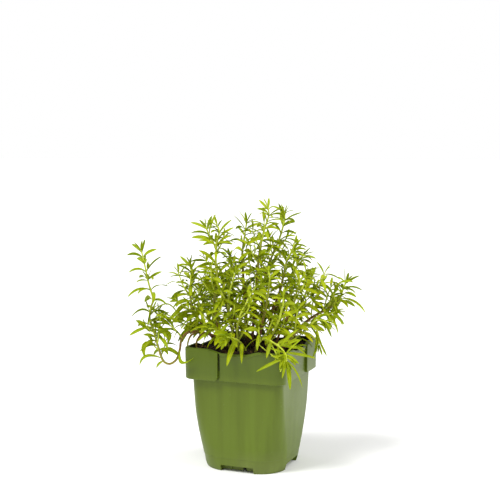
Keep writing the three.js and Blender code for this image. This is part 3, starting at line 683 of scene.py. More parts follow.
# %% [markdown]
# ## The pot's plastic
#
# The plastic is an olive green polypropylene with a satin skin. Seen nearly square on it shows
# its own green, and at a glancing angle it mirrors the white room and turns paler, which the
# Principled shader's own reflection does. The detail is in small things: faint upright flow
# lines, painted light that makes the tone slightly lighter toward the base, painted shade that
# deepens the green of the collar, a fine moulded grain, a dusty film low down, a few handling
# scuffs, and a wet peat stain with painted shade that darkens the wall inside the rim.

# %% Finish the pot
POT_GREEN = seen_colour(83, 99, 12)
POT_GREEN_LIGHT = seen_colour(95, 114, 22)
# painted shade: the deeper green that is painted on the collar
POT_GREEN_SHADED = seen_colour(70, 88, 8)
POT_SCUFF = seen_colour(128, 142, 84)
POT_DUST = seen_colour(120, 124, 82)
# painted shade with some peat stain: the colour of the wall inside the rim
PEAT_STAIN_AND_SHADE = seen_colour(34, 34, 16)
INSIDE_DEPTH = 1.05
PAINTED_LIGHT_FROM = 90
PAINTED_LIGHT_FULL = 10
DUSTY_BELOW = 22
COLLAR_SHADE_FROM = 81
COLLAR_SHADE_TO = 87
STAIN_AND_SHADE_FROM = 88
STAIN_AND_SHADE_TO = 90


def pot_material():
    material, tree, shader = new_material("pot_plastic", specular=0.3)
    streaks = place_group(tree, "upright_streaks", Scale=130.0, Stretch=0.03)
    clouds = place_group(tree, "mottle", Scale=18.0, Low=0.35, High=0.7)
    grain = place_group(tree, "fine_grain", Scale=2600.0, Detail=2.0)
    apart = add_node(tree, "ShaderNodeSeparateXYZ", {"Vector": object_place(tree)})
    height = apart.outputs["Z"]
    # painted light: the body is painted lighter toward the base
    painted_light_low = spread(tree, height, PAINTED_LIGHT_FROM * MM, PAINTED_LIGHT_FULL * MM, 0.0, 0.55)
    tone = calculate(tree, "ADD", painted_light_low, spread(tree, streaks, 0.35, 0.7, -0.25, 0.5))
    colour = mix_colours(tree, tone, POT_GREEN, POT_GREEN_LIGHT)
    # painted shade: the collar and the top of the body are painted a deeper green from 81 mm up
    painted_collar_shade = spread(tree, height, COLLAR_SHADE_FROM * MM, COLLAR_SHADE_TO * MM, 0.0, 0.45)
    colour = mix_colours(tree, painted_collar_shade, colour, POT_GREEN_SHADED)
    scuffs = place_group(tree, "mottle", Scale=210.0, Low=0.66, High=0.78)
    colour = mix_colours(tree, multiply(tree, scuffs, 0.35), colour, POT_SCUFF)
    dust = multiply(tree, spread(tree, height, DUSTY_BELOW * MM, 0.0, 0.0, 0.4), clouds)
    colour = mix_colours(tree, dust, colour, POT_DUST)
    # painted shade with some peat stain: the wall inside the rim above the soil is painted near black
    squares = []
    for axis in "XY":
        from_middle = calculate(tree, "ABSOLUTE", apart.outputs[axis])
        past_arc = calculate(tree, "SUBTRACT", from_middle, (RIM_HALF - RIM_CORNER) * MM)
        past_arc = calculate(tree, "MAXIMUM", past_arc, 0.0)
        squares.append(multiply(tree, past_arc, past_arc))
    from_arc = calculate(tree, "SQRT", calculate(tree, "ADD", *squares))
    inside = calculate(tree, "LESS_THAN", from_arc, (RIM_CORNER - INSIDE_DEPTH) * MM)
    stain_and_shade = multiply(tree, inside, spread(tree, height, STAIN_AND_SHADE_FROM * MM, STAIN_AND_SHADE_TO * MM))
    stain_and_shade = multiply(tree, stain_and_shade, spread(tree, clouds, 0.0, 1.0, 0.85, 1.0))
    colour = mix_colours(tree, stain_and_shade, colour, PEAT_STAIN_AND_SHADE)
    satin = spread(tree, clouds, 0.0, 1.0, 0.36, 0.46)
    rough = calculate(tree, "ADD", satin, multiply(tree, dust, 0.4))
    relief = calculate(tree, "ADD", grain, multiply(tree, streaks, 0.8))
    surface(tree, shader, colour, rough, relief, strength=0.12, distance=0.0002)
    return material


pot.data.materials.clear()
pot.data.materials.append(pot_material())
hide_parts("pot")
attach(pot, "root")
print("pot finished")

# %% [markdown]
# ## The soil
#
# Peat compost is dark, matt and uneven: a crust with lumps, and loose crumbs, bark chips and
# fibres on top. The body is a stack of rounded squares that fills the pot and follows its wall at
# two of the heights in `BODY_LEVELS`. Its upper rings are lifted to a mound, moved by a slow wave
# and by noise for the crust, and heaped a little at the left. The crumbs are small bent
# icosahedra strewn over it with seeded random numbers, so that the render is the same each time.

# %% Shape the soil
SOIL_LEVEL = 101.5
SOIL_MOUND = 2.5
SOIL_BUMP = 1.0
GAP = 0.3
SOIL_DRAWN_BACK = 0.2
SOIL_EDGE = RIM_HALF - WALL - GAP - SOIL_DRAWN_BACK
SOIL_CORNER = RIM_CORNER - WALL - GAP
SOIL_RINGS = 34
FOLLOWED_HEIGHTS = (22, 50)
SOIL_LEVELS = [row for row in BODY_LEVELS if row[0] in FOLLOWED_HEIGHTS]
CRUST_DEPTH = 1.0
HEAP = 2.0
HEAP_STARTS = -18.0
HEAP_RUN = 20.0
CRUST = dict(scale=0.24, fade=0.9, fineness=2.1, layers=4)


def soil_height(x, y):
    share = min(max(abs(x), abs(y)) / SOIL_EDGE, 1)
    wave = math.sin(x * 0.31 + 1.3) * math.cos(y * 0.27) + 0.6 * math.sin(x * 0.11 - y * 0.53)
    crust = noise.fractal(Vector((x, y, 0)) * CRUST["scale"], CRUST["fade"], CRUST["fineness"],
                          CRUST["layers"])
    heap = HEAP * min(max((HEAP_STARTS - x) / HEAP_RUN, 0), 1) ** 2
    mound = SOIL_MOUND * (1 - share * share)
    return SOIL_LEVEL + mound + heap + SOIL_BUMP * wave + crust * (1 - share ** 8)


def soil_body():
    offset = WALL + GAP
    floor = FLOOR_UNDERSIDE + FLOOR_THICKNESS + GAP
    shelf = COLLAR_BOTTOM + WALL + GAP
    shares = [1 - step / SOIL_RINGS for step in range(SOIL_RINGS)]
    top = [(SOIL_LEVEL, SOIL_EDGE * share, SOIL_CORNER * share, 0) for share in shares]
    body = square_body("potting_soil", [
        (floor, 0, 0, 0),
        (floor, BASE_HALF - offset, BASE_CORNER - offset, 0),
        *((z, half - offset, corner - offset, 0) for z, half, corner in SOIL_LEVELS),
        (shelf, BODY_HALF_TOP - offset, BODY_CORNER_TOP - offset, 0),
        (shelf, COLLAR_HALF_LOW - offset, SOIL_CORNER, 0),
        *top,
        (SOIL_LEVEL, 0, 0, 0),
    ])
    return shift(body, lambda x, y, z: (x, y, z) if z < (SOIL_LEVEL - CRUST_DEPTH) * MM
                 else (x, y, soil_height(x / MM, y / MM) * MM))


soil = soil_body()
middle_heights = [soil_height(x, 0) for x in range(-40, 41)]
print("soil top from", round(min(middle_heights), 1), "to", round(max(middle_heights), 1), "mm")

# %% Seeded draws
DRAW_FACTOR = 1664525
DRAW_STEP = 1013904223
DRAW_RANGE = 2 ** 32


def draws_from(seed):
    state = seed

    def draw():
        nonlocal state
        state = (state * DRAW_FACTOR + DRAW_STEP) % DRAW_RANGE
        return state / DRAW_RANGE

    return draw


def between(draw, low, high):
    return low + (high - low) * draw()


print("first draw from seed 1:", round(draws_from(1)(), 3))

# %% Strew the crumbs
CRUMB_COUNT = 1100
CRUMB_SEED = 5
CRUMB_SIZE = 0.45
CRUMB_LIFT = 0.25
CLEAR_OF_RIM = 2.5
BARK_SHARE = 0.16
BARK_EXTRA = 0.7
BARK_SHAPE = (1.3, 0.6, 0.45)
NEIGHBOUR_SLACK = 1.05


def round_crumb():
    golden = (1 + math.sqrt(5)) / 2
    corners = [(0, 1, golden), (0, 1, -golden), (0, -1, golden), (0, -1, -golden)]
    points = np.array([np.roll(corner, turn) for turn in range(3) for corner in corners]) / golden
    near = 2 / golden * NEIGHBOUR_SLACK
    faces = []
    for a, b, c in combinations(range(len(points)), 3):
        if max(np.linalg.norm(points[i] - points[j]) for i, j in ((a, b), (b, c), (c, a))) < near:
            faces_out = np.dot(np.cross(points[b] - points[a], points[c] - points[a]), points[a]) > 0
            faces.append((a, b, c) if faces_out else (a, c, b))
    return points, np.array(faces)


CRUMB_POINTS, CRUMB_FACES = round_crumb()


def bark_stretch(draw):
    return np.array([1, between(draw, 0.5, 1), between(draw, 0.35, 0.85)]) * BARK_SHAPE


def crumbs():
    draw = draws_from(CRUMB_SEED)
    points, faces, luck = [], [], []
    for _ in range(CRUMB_COUNT):
        x, y = ((2 * draw() - 1) * (SOIL_EDGE - CLEAR_OF_RIM) for _ in range(2))
        bark = draw() < BARK_SHARE
        size = CRUMB_SIZE + draw() ** 2.5 + (BARK_EXTRA if bark else 0)
        stretch = bark_stretch(draw) if bark else 1
        bent = np.array([[between(draw, 0.65, 1.35) for _ in range(3)] for _ in CRUMB_POINTS])
        turn = 2 * math.pi * draw()
        across, ahead = math.cos(turn), math.sin(turn)
        spin = np.array([[across, -ahead, 0], [ahead, across, 0], [0, 0, 1]])
        shape = (CRUMB_POINTS * bent * size * stretch) @ spin.T
        faces.append(CRUMB_FACES + len(CRUMB_POINTS) * len(points))
        points.append(shape + (x, y, soil_height(x, y) + CRUMB_LIFT * size))
        luck.append(np.full(len(CRUMB_POINTS), between(draw, 0.75, 1) if bark else between(draw, 0, 0.7)))
    return np.concatenate(points), np.concatenate(faces), np.concatenate(luck)


crumb_points, crumb_faces, crumb_luck = crumbs()
print("crumb faces:", len(crumb_faces), "of", len(CRUMB_FACES), "on each crumb")

# %% [markdown]
# Crumbs and crust share one finish. Each crumb carries a number of its own, called `luck` here,
# and bark chips have the highest ones, which turn them a lighter brown. The crust has one low
# `luck` all over, so its colour changes with the noise alone.

# %% Finish the soil
SOIL_DARK = seen_colour(22, 17, 9)
SOIL_BROWN = seen_colour(50, 36, 19)
BARK_BROWN = seen_colour(88, 60, 34)
FIBRE = seen_colour(104, 84, 52)
CRUST_LUCK = 0.3
SOIL_SHARP = math.radians(60)


def read_number(tree, name):
    return add_node(tree, "ShaderNodeAttribute", attribute_name=name).outputs["Fac"]


def store_numbers(mesh, name, values):
    numbers = mesh.attributes.new(name, "FLOAT", "POINT")
    numbers.data.foreach_set("value", np.asarray(values, dtype=np.float32))


def soil_material():
    material, tree, shader = new_material("peat_compost", specular=0.25)
    luck = read_number(tree, "luck")
    clouds = place_group(tree, "mottle", Scale=140.0, Low=0.3, High=0.7)
    grain = place_group(tree, "fine_grain", Scale=1500.0, Detail=4.0)
    colour = mix_colours(tree, clouds, SOIL_DARK, SOIL_BROWN)
    colour = mix_colours(tree, spread(tree, luck, 0.72, 0.95), colour, BARK_BROWN)
    fibres = add_node(tree, "ShaderNodeTexVoronoi", {"Scale": 700.0}, feature="DISTANCE_TO_EDGE")
    plug(tree, object_place(tree), fibres.inputs["Vector"])
    thread = multiply(tree, spread(tree, fibres.outputs["Distance"], 0.04, 0.0), 0.35)
    colour = mix_colours(tree, thread, colour, FIBRE)
    rough = spread(tree, grain, 0.3, 0.7, 0.8, 1.0)
    relief = calculate(tree, "ADD", grain, clouds)
    surface(tree, shader, colour, rough, relief, strength=0.7, distance=0.0008)
    return material


def add_to_soil(points, faces, luck):
    body = soil.data
    own_points = np.array([vertex.co for vertex in body.vertices]) / MM
    own_faces = [list(face.vertices) for face in body.polygons]
    mesh = bpy.data.meshes.new("potting_soil")
    mesh.from_pydata((np.concatenate([own_points, points]) * MM).tolist(), [],
                     own_faces + (faces + len(own_points)).tolist())
    store_numbers(mesh, "luck", np.concatenate([np.full(len(own_points), CRUST_LUCK), luck]))
    mesh.materials.append(soil_material())
    mesh.shade_smooth()
    mesh.set_sharp_from_angle(angle=SOIL_SHARP)
    soil.data = mesh


add_to_soil(crumb_points, crumb_faces, crumb_luck)
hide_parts("soil")
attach(soil, "root")
print("soil faces:", len(soil.data.polygons))

# %% [markdown]
# ## Where the stems run
#
# A herb like this has dozens of stems. Those in sight were read off the photo as a few points
# each: x to the right in the view, y away from the viewer, z up. Those hidden at the back were
# laid out like them. The points are the same as the measured solids have, and are turned by the
# angle between the view and the pot's sides. `bare` is the length without leaves above the root
# and `leaf` the usual leaf length. Broad leaves that hang in places of their own grow `at` a
# distance along the stem and arch `by` a point over to a `tip`.

# %% The stems' table
STEMS = [
    {
        "name": "stem_far_left", "seed": 11, "radius": 1.03, "bare": 118, "leaf": 17.7,
        "line": [[-18, 0, 90], [-21, 0, 104], [-31, 0, 112], [-46, 0, 116.5], [-56, -3, 117],
                 [-62, -7, 112], [-63.5, -10, 103], [-66, -12, 95], [-72, -12, 90.5], [-78, -11, 93],
                 [-82, -9, 103], [-86, -7, 117], [-90, -6, 129], [-89, -6, 139], [-87, -6, 147],
                 [-90.5, -6, 160], [-93, -6, 172], [-95.5, -6, 184], [-97, -6, 190]],
        "shoots": [
            {"bare": 4, "line": [[-89.6, -6, 127], [-83, -11, 130], [-79, -13, 135], [-78, -14, 135]]},
            {"bare": 5, "line": [[-62, -7, 113], [-66, -10, 119], [-71, -12, 124], [-74, -13, 126]]},
        ],
        "broad": [
            {"at": 133, "by": [-81, -10, 131], "tip": [-72.9, -15, 127], "half": 1.9},
            {"at": 122, "by": [-94, -8, 122], "tip": [-102.3, -10, 129], "half": 1.8},
            {"at": 120, "by": [-68.5, -10, 122], "tip": [-74.4, -14, 108.6], "half": 2.6},
            {"at": 109, "by": [-99, -10, 114], "tip": [-93.9, -12, 95.8], "half": 2.4},
            {"at": 103, "by": [-72.6, -14, 108.6], "tip": [-65.2, -15, 98.2], "half": 2.2},
            {"at": 98, "by": [-96.2, -14, 103.3], "tip": [-98.5, -14, 89], "half": 1.5},
            {"at": 95, "by": [-82, -13, 92], "tip": [-83.7, -14, 87], "half": 1.2},
            {"at": 72, "by": [-64, -38, 88], "tip": [-49.7, -34, 100.6], "half": 1.6},
        ],
    },
    {
        "name": "stem_left", "seed": 23, "radius": 0.88, "bare": 40, "leaf": 16.2,
        "line": [[-29, 8, 90], [-32, 9, 104], [-38, 9, 113], [-47, 7, 126], [-53, 4, 138],
                 [-55, 3, 152], [-54, 5, 168], [-55, 5, 176]],
        "broad": [
            {"at": 50, "by": [-63, 0, 137], "tip": [-71.5, -4, 123.6], "half": 2},
            {"at": 42, "by": [-52, 4, 124], "tip": [-55, 2.5, 114], "half": 3},
            {"at": 34, "by": [-53, 7, 123], "tip": [-61, 6, 113], "half": 2.4},
        ],
    },
    {
        "name": "stem_left_fork", "seed": 35, "radius": 0.98, "bare": 44, "leaf": 16.7,
        "line": [[-22, -5, 90], [-24, -5, 104], [-29, -6, 118], [-32, -8, 134], [-33, -8, 148],
                 [-30, -5, 162], [-32, -1, 178], [-31.5, 0, 192], [-29, 0, 206], [-31, 0, 211]],
        "shoots": [
            {"bare": 5, "line": [[-31.6, 0, 189], [-34, -3, 196], [-38, -5, 204], [-40.5, -5, 210]]},
        ],
    },
    {
        "name": "stem_middle_back", "seed": 41, "radius": 0.98, "bare": 54, "leaf": 16.7,
        "line": [[-4, 10, 90], [-4, 11, 108], [-6, 13, 138], [-8, 16, 164], [-9, 19, 184],
                 [-6.5, 20, 203], [-5, 20, 213]],
    },
    {
        "name": "stem_tall", "seed": 59, "radius": 1.08, "bare": 56, "leaf": 16.7,
        "line": [[0, 1, 90], [0, 2, 108], [2, 3, 136], [4, 5, 162], [6, 6, 184], [9.5, 8, 203],
                 [14.5, 9, 219], [14, 10, 226]],
    },
    {
        "name": "stem_tall_back", "seed": 67, "radius": 0.98, "bare": 62, "leaf": 16.7,
        "line": [[6, 14, 90], [6, 15, 108], [9, 17, 140], [12, 20, 166], [20, 23, 187], [25, 25, 199],
                 [29, 25, 214], [29, 25, 221]],
    },
    {
        "name": "stem_right_tall", "seed": 73, "radius": 0.98, "bare": 48, "leaf": 16.2,
        "line": [[12, -4, 90], [13, -4, 108], [17, -1, 132], [24, 3, 152], [28, 5, 168], [31, 6, 181],
                 [37, 5, 189]],
    },
    {
        "name": "stem_right_back", "seed": 83, "radius": 0.88, "bare": 56, "leaf": 15.7,
        "line": [[15, 7, 90], [16, 8, 110], [21, 10, 134], [30, 14, 154], [38, 17, 169], [43, 18, 180],
                 [47, 18, 184]],
    },
    {
        "name": "stem_right_front", "seed": 97, "radius": 0.88, "bare": 28, "leaf": 15.7,
        "line": [[20, -8, 90], [21, -8, 108], [28, -9, 126], [36, -9, 143], [40, -8, 158],
                 [46, -8, 171], [48, -8, 172]],
    },
    {
        "name": "stem_right", "seed": 101, "radius": 0.88, "bare": 30, "leaf": 16.2,
        "line": [[25, 1, 90], [27, 1, 108], [36, 1, 127], [43, 0, 140], [46.5, 0, 150], [52, 0, 162],
                 [52.5, 0, 166]],
    },
    {
        "name": "stem_far_right", "seed": 113, "radius": 1.03, "bare": 48, "leaf": 17.2,
        "line": [[30, 10, 90], [33, 10, 107], [44, 8, 121], [55, 6, 130], [69, 5, 138], [77, 5, 144.5],
                 [80, 5, 153], [83, 5, 161]],
        "shoots": [
            {"bare": 7, "line": [[69, 5, 138], [73, 4, 142], [72, 2, 149], [74, -1, 159],
                                 [75.5, -2, 159]]},
        ],
        "broad": [
            {"at": 78, "by": [92.3, 0, 147], "tip": [99.8, -2, 133.6], "half": 1.4},
            {"at": 76, "by": [82, 3, 144], "tip": [84.5, 2, 138], "half": 1.8},
            {"at": 71, "by": [75, 3, 136], "tip": [72.2, 0, 127], "half": 2.5},
            {"at": 66, "by": [77, 1, 131], "tip": [80, 2, 121.7], "half": 1.1},
            {"at": 62, "by": [73, -2, 128], "tip": [75.8, -3, 115.4], "half": 1.2},
        ],
    },
    {
        "name": "stem_low_right", "seed": 127, "radius": 0.83, "bare": 32, "leaf": 16.2,
        "line": [[24, -15, 90], [27, -15, 105], [37, -18, 118], [48, -21, 126], [58, -22, 131],
                 [64, -20, 129]],
        "shoots": [
            {"bare": 2, "line": [[47, -20.7, 125.4], [54, -22, 124.5], [57, -22, 118], [57.5, -22, 110]]},
        ],
    },
    {
        "name": "stem_front", "seed": 131, "radius": 0.78, "bare": 24, "leaf": 15.7,
        "line": [[-11, -17, 90], [-12, -18, 106], [-13, -22, 122], [-11, -27, 134], [-5, -28, 147],
                 [1, -27, 158], [4, -26, 161]],
    },
    {
        "name": "stem_over_corner", "seed": 149, "radius": 0.78, "bare": 48, "leaf": 15.2,
        "line": [[3, -20, 90], [3, -22, 104], [5, -32, 114], [12, -42, 117.5], [20, -50, 114.5],
                 [25, -57, 111.5], [28, -62.5, 107], [28, -64, 102]],
        "broad": [
            {"at": 71, "by": [15, -65, 102], "tip": [3, -66, 95], "half": 1.7},
            {"at": 73.5, "by": [30.5, -66, 94], "tip": [31, -67, 80], "half": 2.4},
            {"at": 74, "by": [37, -63, 97], "tip": [41.5, -62, 80.5], "half": 1.1},
            {"at": 68, "by": [33, -62.5, 107], "tip": [38.5, -64, 101], "half": 1.4},
            {"at": 48, "by": [14, -53, 115], "tip": [11.5, -58.5, 104.5], "half": 2.2},
            {"at": 58, "by": [28, -57, 122], "tip": [38.5, -58, 129.5], "half": 1.9},
            {"at": 66, "by": [40, -55, 108], "tip": [53.5, -50, 103], "half": 1.7},
        ],
    },
    {
        "name": "stem_front_left", "seed": 151, "radius": 0.83, "bare": 22, "leaf": 16.2,
        "line": [[-19, -13, 90], [-20, -14, 105], [-25, -21, 117], [-32, -28, 124], [-38, -32, 125]],
        "broad": [
            {"at": 29, "by": [-29, -30, 119], "tip": [-32.1, -38, 111.3], "half": 2.4},
        ],
    },
    {
        "name": "stem_front_low", "seed": 163, "radius": 0.78, "bare": 34, "leaf": 15.2,
        "line": [[-5, -22, 90], [-6, -24, 105], [-12, -33, 115], [-18, -42, 119], [-22, -50, 121]],
        "broad": [
            {"at": 31, "by": [-17, -42, 114], "tip": [-21.5, -50, 96.2], "half": 2.7},
            {"at": 24, "by": [-9, -41, 114], "tip": [-9, -53, 99], "half": 1.8},
            {"at": 42, "by": [-25, -44.5, 124], "tip": [-33, -47, 123], "half": 3},
            {"at": 40, "by": [-23, -46, 121], "tip": [-28.5, -51, 116], "half": 2.8},
        ],
    },
    {
        "name": "stem_front_right", "seed": 179, "radius": 0.88, "bare": 24, "leaf": 16.2,
        "line": [[12, -15, 90], [13, -17, 106], [18, -27, 121], [23, -33, 134], [26, -35, 147],
                 [26, -35, 152]],
    },
    {
        "name": "stem_inner_left", "seed": 187, "radius": 0.88, "bare": 32, "leaf": 15.7,
        "line": [[-13, -7, 90], [-14, -8, 106], [-19, -12, 126], [-21, -15, 146], [-17, -16, 164],
                 [-15, -15, 170]],
    },
    {
        "name": "stem_inner_right", "seed": 193, "radius": 0.88, "bare": 34, "leaf": 15.7,
        "line": [[4, -10, 90], [5, -11, 106], [9, -14, 128], [13, -15, 148], [15, -14, 166],
                 [14, -12, 172]],
    },
    {
        "name": "stem_inner_back", "seed": 199, "radius": 0.88, "bare": 54, "leaf": 15.7,
        "line": [[-12, 6, 90], [-13, 7, 108], [-17, 11, 134], [-20, 14, 158], [-19, 15, 178],
                 [-20, 15, 183]],
    },
    {
        "name": "stem_back_left", "seed": 211, "radius": 0.88, "bare": 56, "leaf": 16.2,
        "line": [[-14, 17, 90], [-15, 19, 106], [-21, 28, 126], [-26, 34, 146], [-28, 37, 164],
                 [-29, 38, 168]],
    },
    {
        "name": "stem_back", "seed": 223, "radius": 0.88, "bare": 58, "leaf": 16.2,
        "line": [[3, 22, 90], [4, 24, 106], [8, 33, 126], [12, 39, 146], [14, 42, 162], [14, 43, 168]],
    },
    {
        "name": "stem_back_right", "seed": 227, "radius": 0.88, "bare": 48, "leaf": 15.7,
        "line": [[17, 19, 90], [18, 21, 106], [26, 29, 124], [33, 34, 141], [37, 37, 155],
                 [38, 38, 160]],
    },
    {
        "name": "stem_low_left", "seed": 233, "radius": 0.83, "bare": 46, "leaf": 15.7,
        "line": [[-26, 17, 90], [-27, 19, 105], [-36, 26, 119], [-43, 31, 132], [-47, 33, 145],
                 [-48, 33, 148]],
    },
    {
        "name": "stem_low_back", "seed": 241, "radius": 0.83, "bare": 42, "leaf": 15.7,
        "line": [[-5, 30, 90], [-6, 32, 105], [-10, 43, 117], [-13, 52, 126], [-14, 57, 132]],
    },
    {
        "name": "stem_low_back_right", "seed": 251, "radius": 0.83, "bare": 46, "leaf": 15.7,
        "line": [[15, 30, 90], [17, 32, 105], [27, 40, 117], [35, 46, 125], [40, 49, 131]],
    },
]
print("stems:", len(STEMS), "side shoots:", sum(len(stem.get("shoots", [])) for stem in STEMS))

# %% [markdown]
# ## Centre lines
#
# A smooth curve through the points is cut into short straight runs, and each run knows its
# distance from the root. Any place along a stem is then one lookup, which is how every leaf
# finds its root and the direction in which the stem grows there.

# %% Curves through the points
VIEW_TURN = math.radians(21.2)
RUNS_A_SPAN = 8
UP = np.array([0.0, 0.0, 1.0])


def turned(point):
    x, y, z = point
    return np.array([x * math.cos(VIEW_TURN) - y * math.sin(VIEW_TURN),
                     x * math.sin(VIEW_TURN) + y * math.cos(VIEW_TURN), z])


def unit(vector):
    return vector / np.linalg.norm(vector, axis=-1, keepdims=True)


def line_along(places):
    reach = np.concatenate([[0], np.cumsum(np.linalg.norm(np.diff(places, axis=0), axis=1))])
    return {"places": places, "reach": reach, "length": reach[-1]}


def centre_line(points):
    marks = [turned(point) for point in points]
    marks = [2 * marks[0] - marks[1], *marks, 2 * marks[-1] - marks[-2]]
    places = [marks[1]]
    for first in range(len(marks) - 3):
        window = marks[first:first + 4]
        places += [through(window, step / RUNS_A_SPAN) for step in range(1, RUNS_A_SPAN + 1)]
    return line_along(np.array(places))


def place_on(line, distance):
    run = min(max(int(np.searchsorted(line["reach"], distance)), 1), len(line["reach"]) - 1)
    start, end = line["places"][run - 1], line["places"][run]
    share = (distance - line["reach"][run - 1]) / (line["reach"][run] - line["reach"][run - 1])
    return start + (end - start) * share, unit(end - start)


tall_stem = next(stem for stem in STEMS if stem["name"] == "stem_tall")
tall_line = centre_line(tall_stem["line"])
print("length of the tallest stem:", round(tall_line["length"]), "mm")

# %% [markdown]
# ## How leaves stand on a shoot
#
# Savory leaves come in pairs, and each pair stands crosswise over the one below. At the tip they
# are short and upright. Down the stem the pairs are further apart, and their leaves are longer,
# open wider and droop more: a row of `WITH_AGE` holds a value at the tip and what age adds to it.
# Each leaf also gets six seeded draws for its turn, opening, droop, length, width and roll, in
# the same order as in the measured solids, so that every leaf here falls on its own solid.

# %% The rule for leaves
TIP_PAIR_DEPTH = 2.8
PAIR_SPACING = 4.2
SPACING_GROWTH = 0.5
AGEING_DEPTH = 40.0
BLADE_LIFT = 0.8
BLADE_ROLL = 4
TURN_SPREAD = 24
OPEN_SPREAD = 16
LEAST_OPEN = 8
TIP_PAIR = dict(depth=0.8, open=17.0, droop=0.25, length=0.58)
WITH_AGE = dict(open=(32, 28), droop=(0.6, 0.6), length=(0.74, 0.45))
LENGTH_AGEING = 0.6


def pair_depths(leafy):
    depth, pair, depths = TIP_PAIR_DEPTH, 0, []
    while depth <= leafy:
        depths.append(depth)
        pair += 1
        depth = TIP_PAIR_DEPTH + pair * PAIR_SPACING + pair * pair * SPACING_GROWTH
    return depths


def pairs_on(leafy):
    pairs = [TIP_PAIR]
    for depth in pair_depths(leafy):
        age = min(depth / AGEING_DEPTH, 1)
        ages = dict(open=age, droop=age, length=age ** LENGTH_AGEING)
        pairs.append({"depth": depth, **{what: young + added * ages[what]
                                         for what, (young, added) in WITH_AGE.items()}})
    return pairs


def leaf_plans(line, pairs, first_turn, usual, draw):
    plans = []
    for order, pair in enumerate(pairs):
        centre, along = place_on(line, line["length"] - pair["depth"])
        for side in range(2):
            plan = dict(centre=centre, along=along, depth=pair["depth"])
            plan["turn"] = first_turn + order * 90 + side * 180 + (draw() - 0.5) * TURN_SPREAD
            plan["open"] = pair["open"] + (draw() - 0.5) * OPEN_SPREAD
            plan["droop"] = pair["droop"] * between(draw, 0.6, 1.4)
            plan["length"] = usual * pair["length"] * between(draw, 0.85, 1.15)
            plan["half"] = usual * (0.045 * pair["length"] + between(draw, 0.075, 0.095))
            plan["roll"] = (draw() - 0.5) * BLADE_ROLL
            plans.append(plan)
    return plans


def outward(along, turn):
    first = turned((1, 0, 0))
    first = unit(first - along * np.dot(first, along))
    second = np.cross(along, first)
    return first * math.cos(math.radians(turn)) + second * math.sin(math.radians(turn))


def leaf_from(plan, turn=0, opened=0, scale=1):
    along = plan["along"]
    angle = math.radians(max(plan["open"] + opened, LEAST_OPEN))
    out = outward(along, plan["turn"] + turn)
    start = along * math.cos(angle) + out * math.sin(angle)
    end = unit(start - plan["droop"] * UP)
    length = plan["length"] * scale
    control = plan["centre"] + start * length / 2
    face = along + BLADE_LIFT * UP + plan["roll"] * np.cross(out, along)
    return dict(root=plan["centre"], control=control, tip=control + end * length / 2, face=face,
                half=plan["half"] * scale)


print("leaf pairs on the tallest stem:", len(pairs_on(tall_line["length"] - tall_stem["bare"])))

# %% [markdown]
# ## Finding each leaf on its solid
#
# In the solids a leaf that would have crossed another was turned, opened or shortened in one of
# nine ways, or left out. A blade's tip is a corner of its solid. So each planned leaf is tried
# as it was planned and then in the nine ways, in order, and the one whose tip lies on a corner of
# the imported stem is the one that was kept. A k-d tree makes that search quick.

# %% Match the leaves to the frame
LEAF_WAYS = [(0, 0, 1), (20, 0, 1), (-20, 0, 1), (0, -16, 1), (40, -8, 0.9), (-40, -8, 0.9),
             (0, 18, 0.9), (60, 0, 0.8), (-60, 0, 0.8), (0, -26, 0.7)]
SAME_PLACE = 0.02


def corners_of(node):
    vertices = frame["nodes"][node].data.vertices
    tree = KDTree(len(vertices))
    for index, vertex in enumerate(vertices):
        tree.insert(vertex.co, index)
    tree.balance()
    return tree


def kept_leaf(plan, corners):
    for turn, opened, scale in LEAF_WAYS:
        leaf = leaf_from(plan, turn, opened, scale)
        if corners.find(Vector(leaf["tip"] * MM))[2] < SAME_PLACE * MM:
            return leaf
    return None


print("corners on the tallest stem's solid:", len(frame["nodes"]["stem_tall"].data.vertices))

# %% Read every stem
FIRST_TURN = 20.0
FIRST_TURN_SPREAD = 50.0
SIDE_SHOOT_RADIUS = 0.65


def branches_of(stem, draw):
    side_shoots = [{"radius": SIDE_SHOOT_RADIUS, **shoot} for shoot in stem.get("shoots", [])]
    branches = [dict(line=centre_line(given["line"]), bare=given["bare"], radius=given["radius"])
                for given in (stem, *side_shoots)]
    for branch in branches:
        branch["turn"] = FIRST_TURN + FIRST_TURN_SPREAD * draw()
    return branches


def read_stem(stem):
    draw = draws_from(stem["seed"])
    branches = branches_of(stem, draw)
    corners = corners_of(stem["name"])
    planned = 0
    for branch in branches:
        pairs = pairs_on(branch["line"]["length"] - branch["bare"])
        plans = leaf_plans(branch["line"], pairs, branch["turn"], stem["leaf"], draw)
        found = [(plan, kept_leaf(plan, corners)) for plan in plans]
        planned += len(plans)
        branch["leaves"] = [(plan, leaf) for plan, leaf in found if leaf]
    return branches, planned


GROWN = {stem["name"]: read_stem(stem) for stem in STEMS}
total_planned = sum(planned for _, planned in GROWN.values())
total_found = sum(len(branch["leaves"]) for branches, _ in GROWN.values() for branch in branches)
print("leaves planned:", total_planned, "found on the solids:", total_found)

# %% [markdown]
# ## The shape of one leaf
#
# A savory leaf is narrow, widest just past its middle, folded a little along its rib and arched
# over toward its tip. It is built as a real thin body and not as a card: each cross-section has
# five points on top, from margin to margin, and three below with the rib standing proud. The
# sections follow the arch and shrink to a narrow stalk and a single point.

# %% Points of a blade
BLADE_SHARES = np.array([0.03, 0.09, 0.18, 0.3, 0.43, 0.56, 0.68, 0.79, 0.88, 0.95])
SMALL_BLADE_SHARES = np.array([0.05, 0.2, 0.4, 0.6, 0.8, 0.93])
SECTION_SIDE = np.array([-1, -0.5, 0, 0.5, 1, 0.5, 0, -0.5])
SECTION_BELOW = np.array([0, 0, 0, 0, 0, 1, 1.7, 1])
SECTION_COUNT = len(SECTION_SIDE)
LEAF_THICKNESS = 0.2
LEAF_NARROWING = 0.96
LEAF_STALK_HALF = 0.25


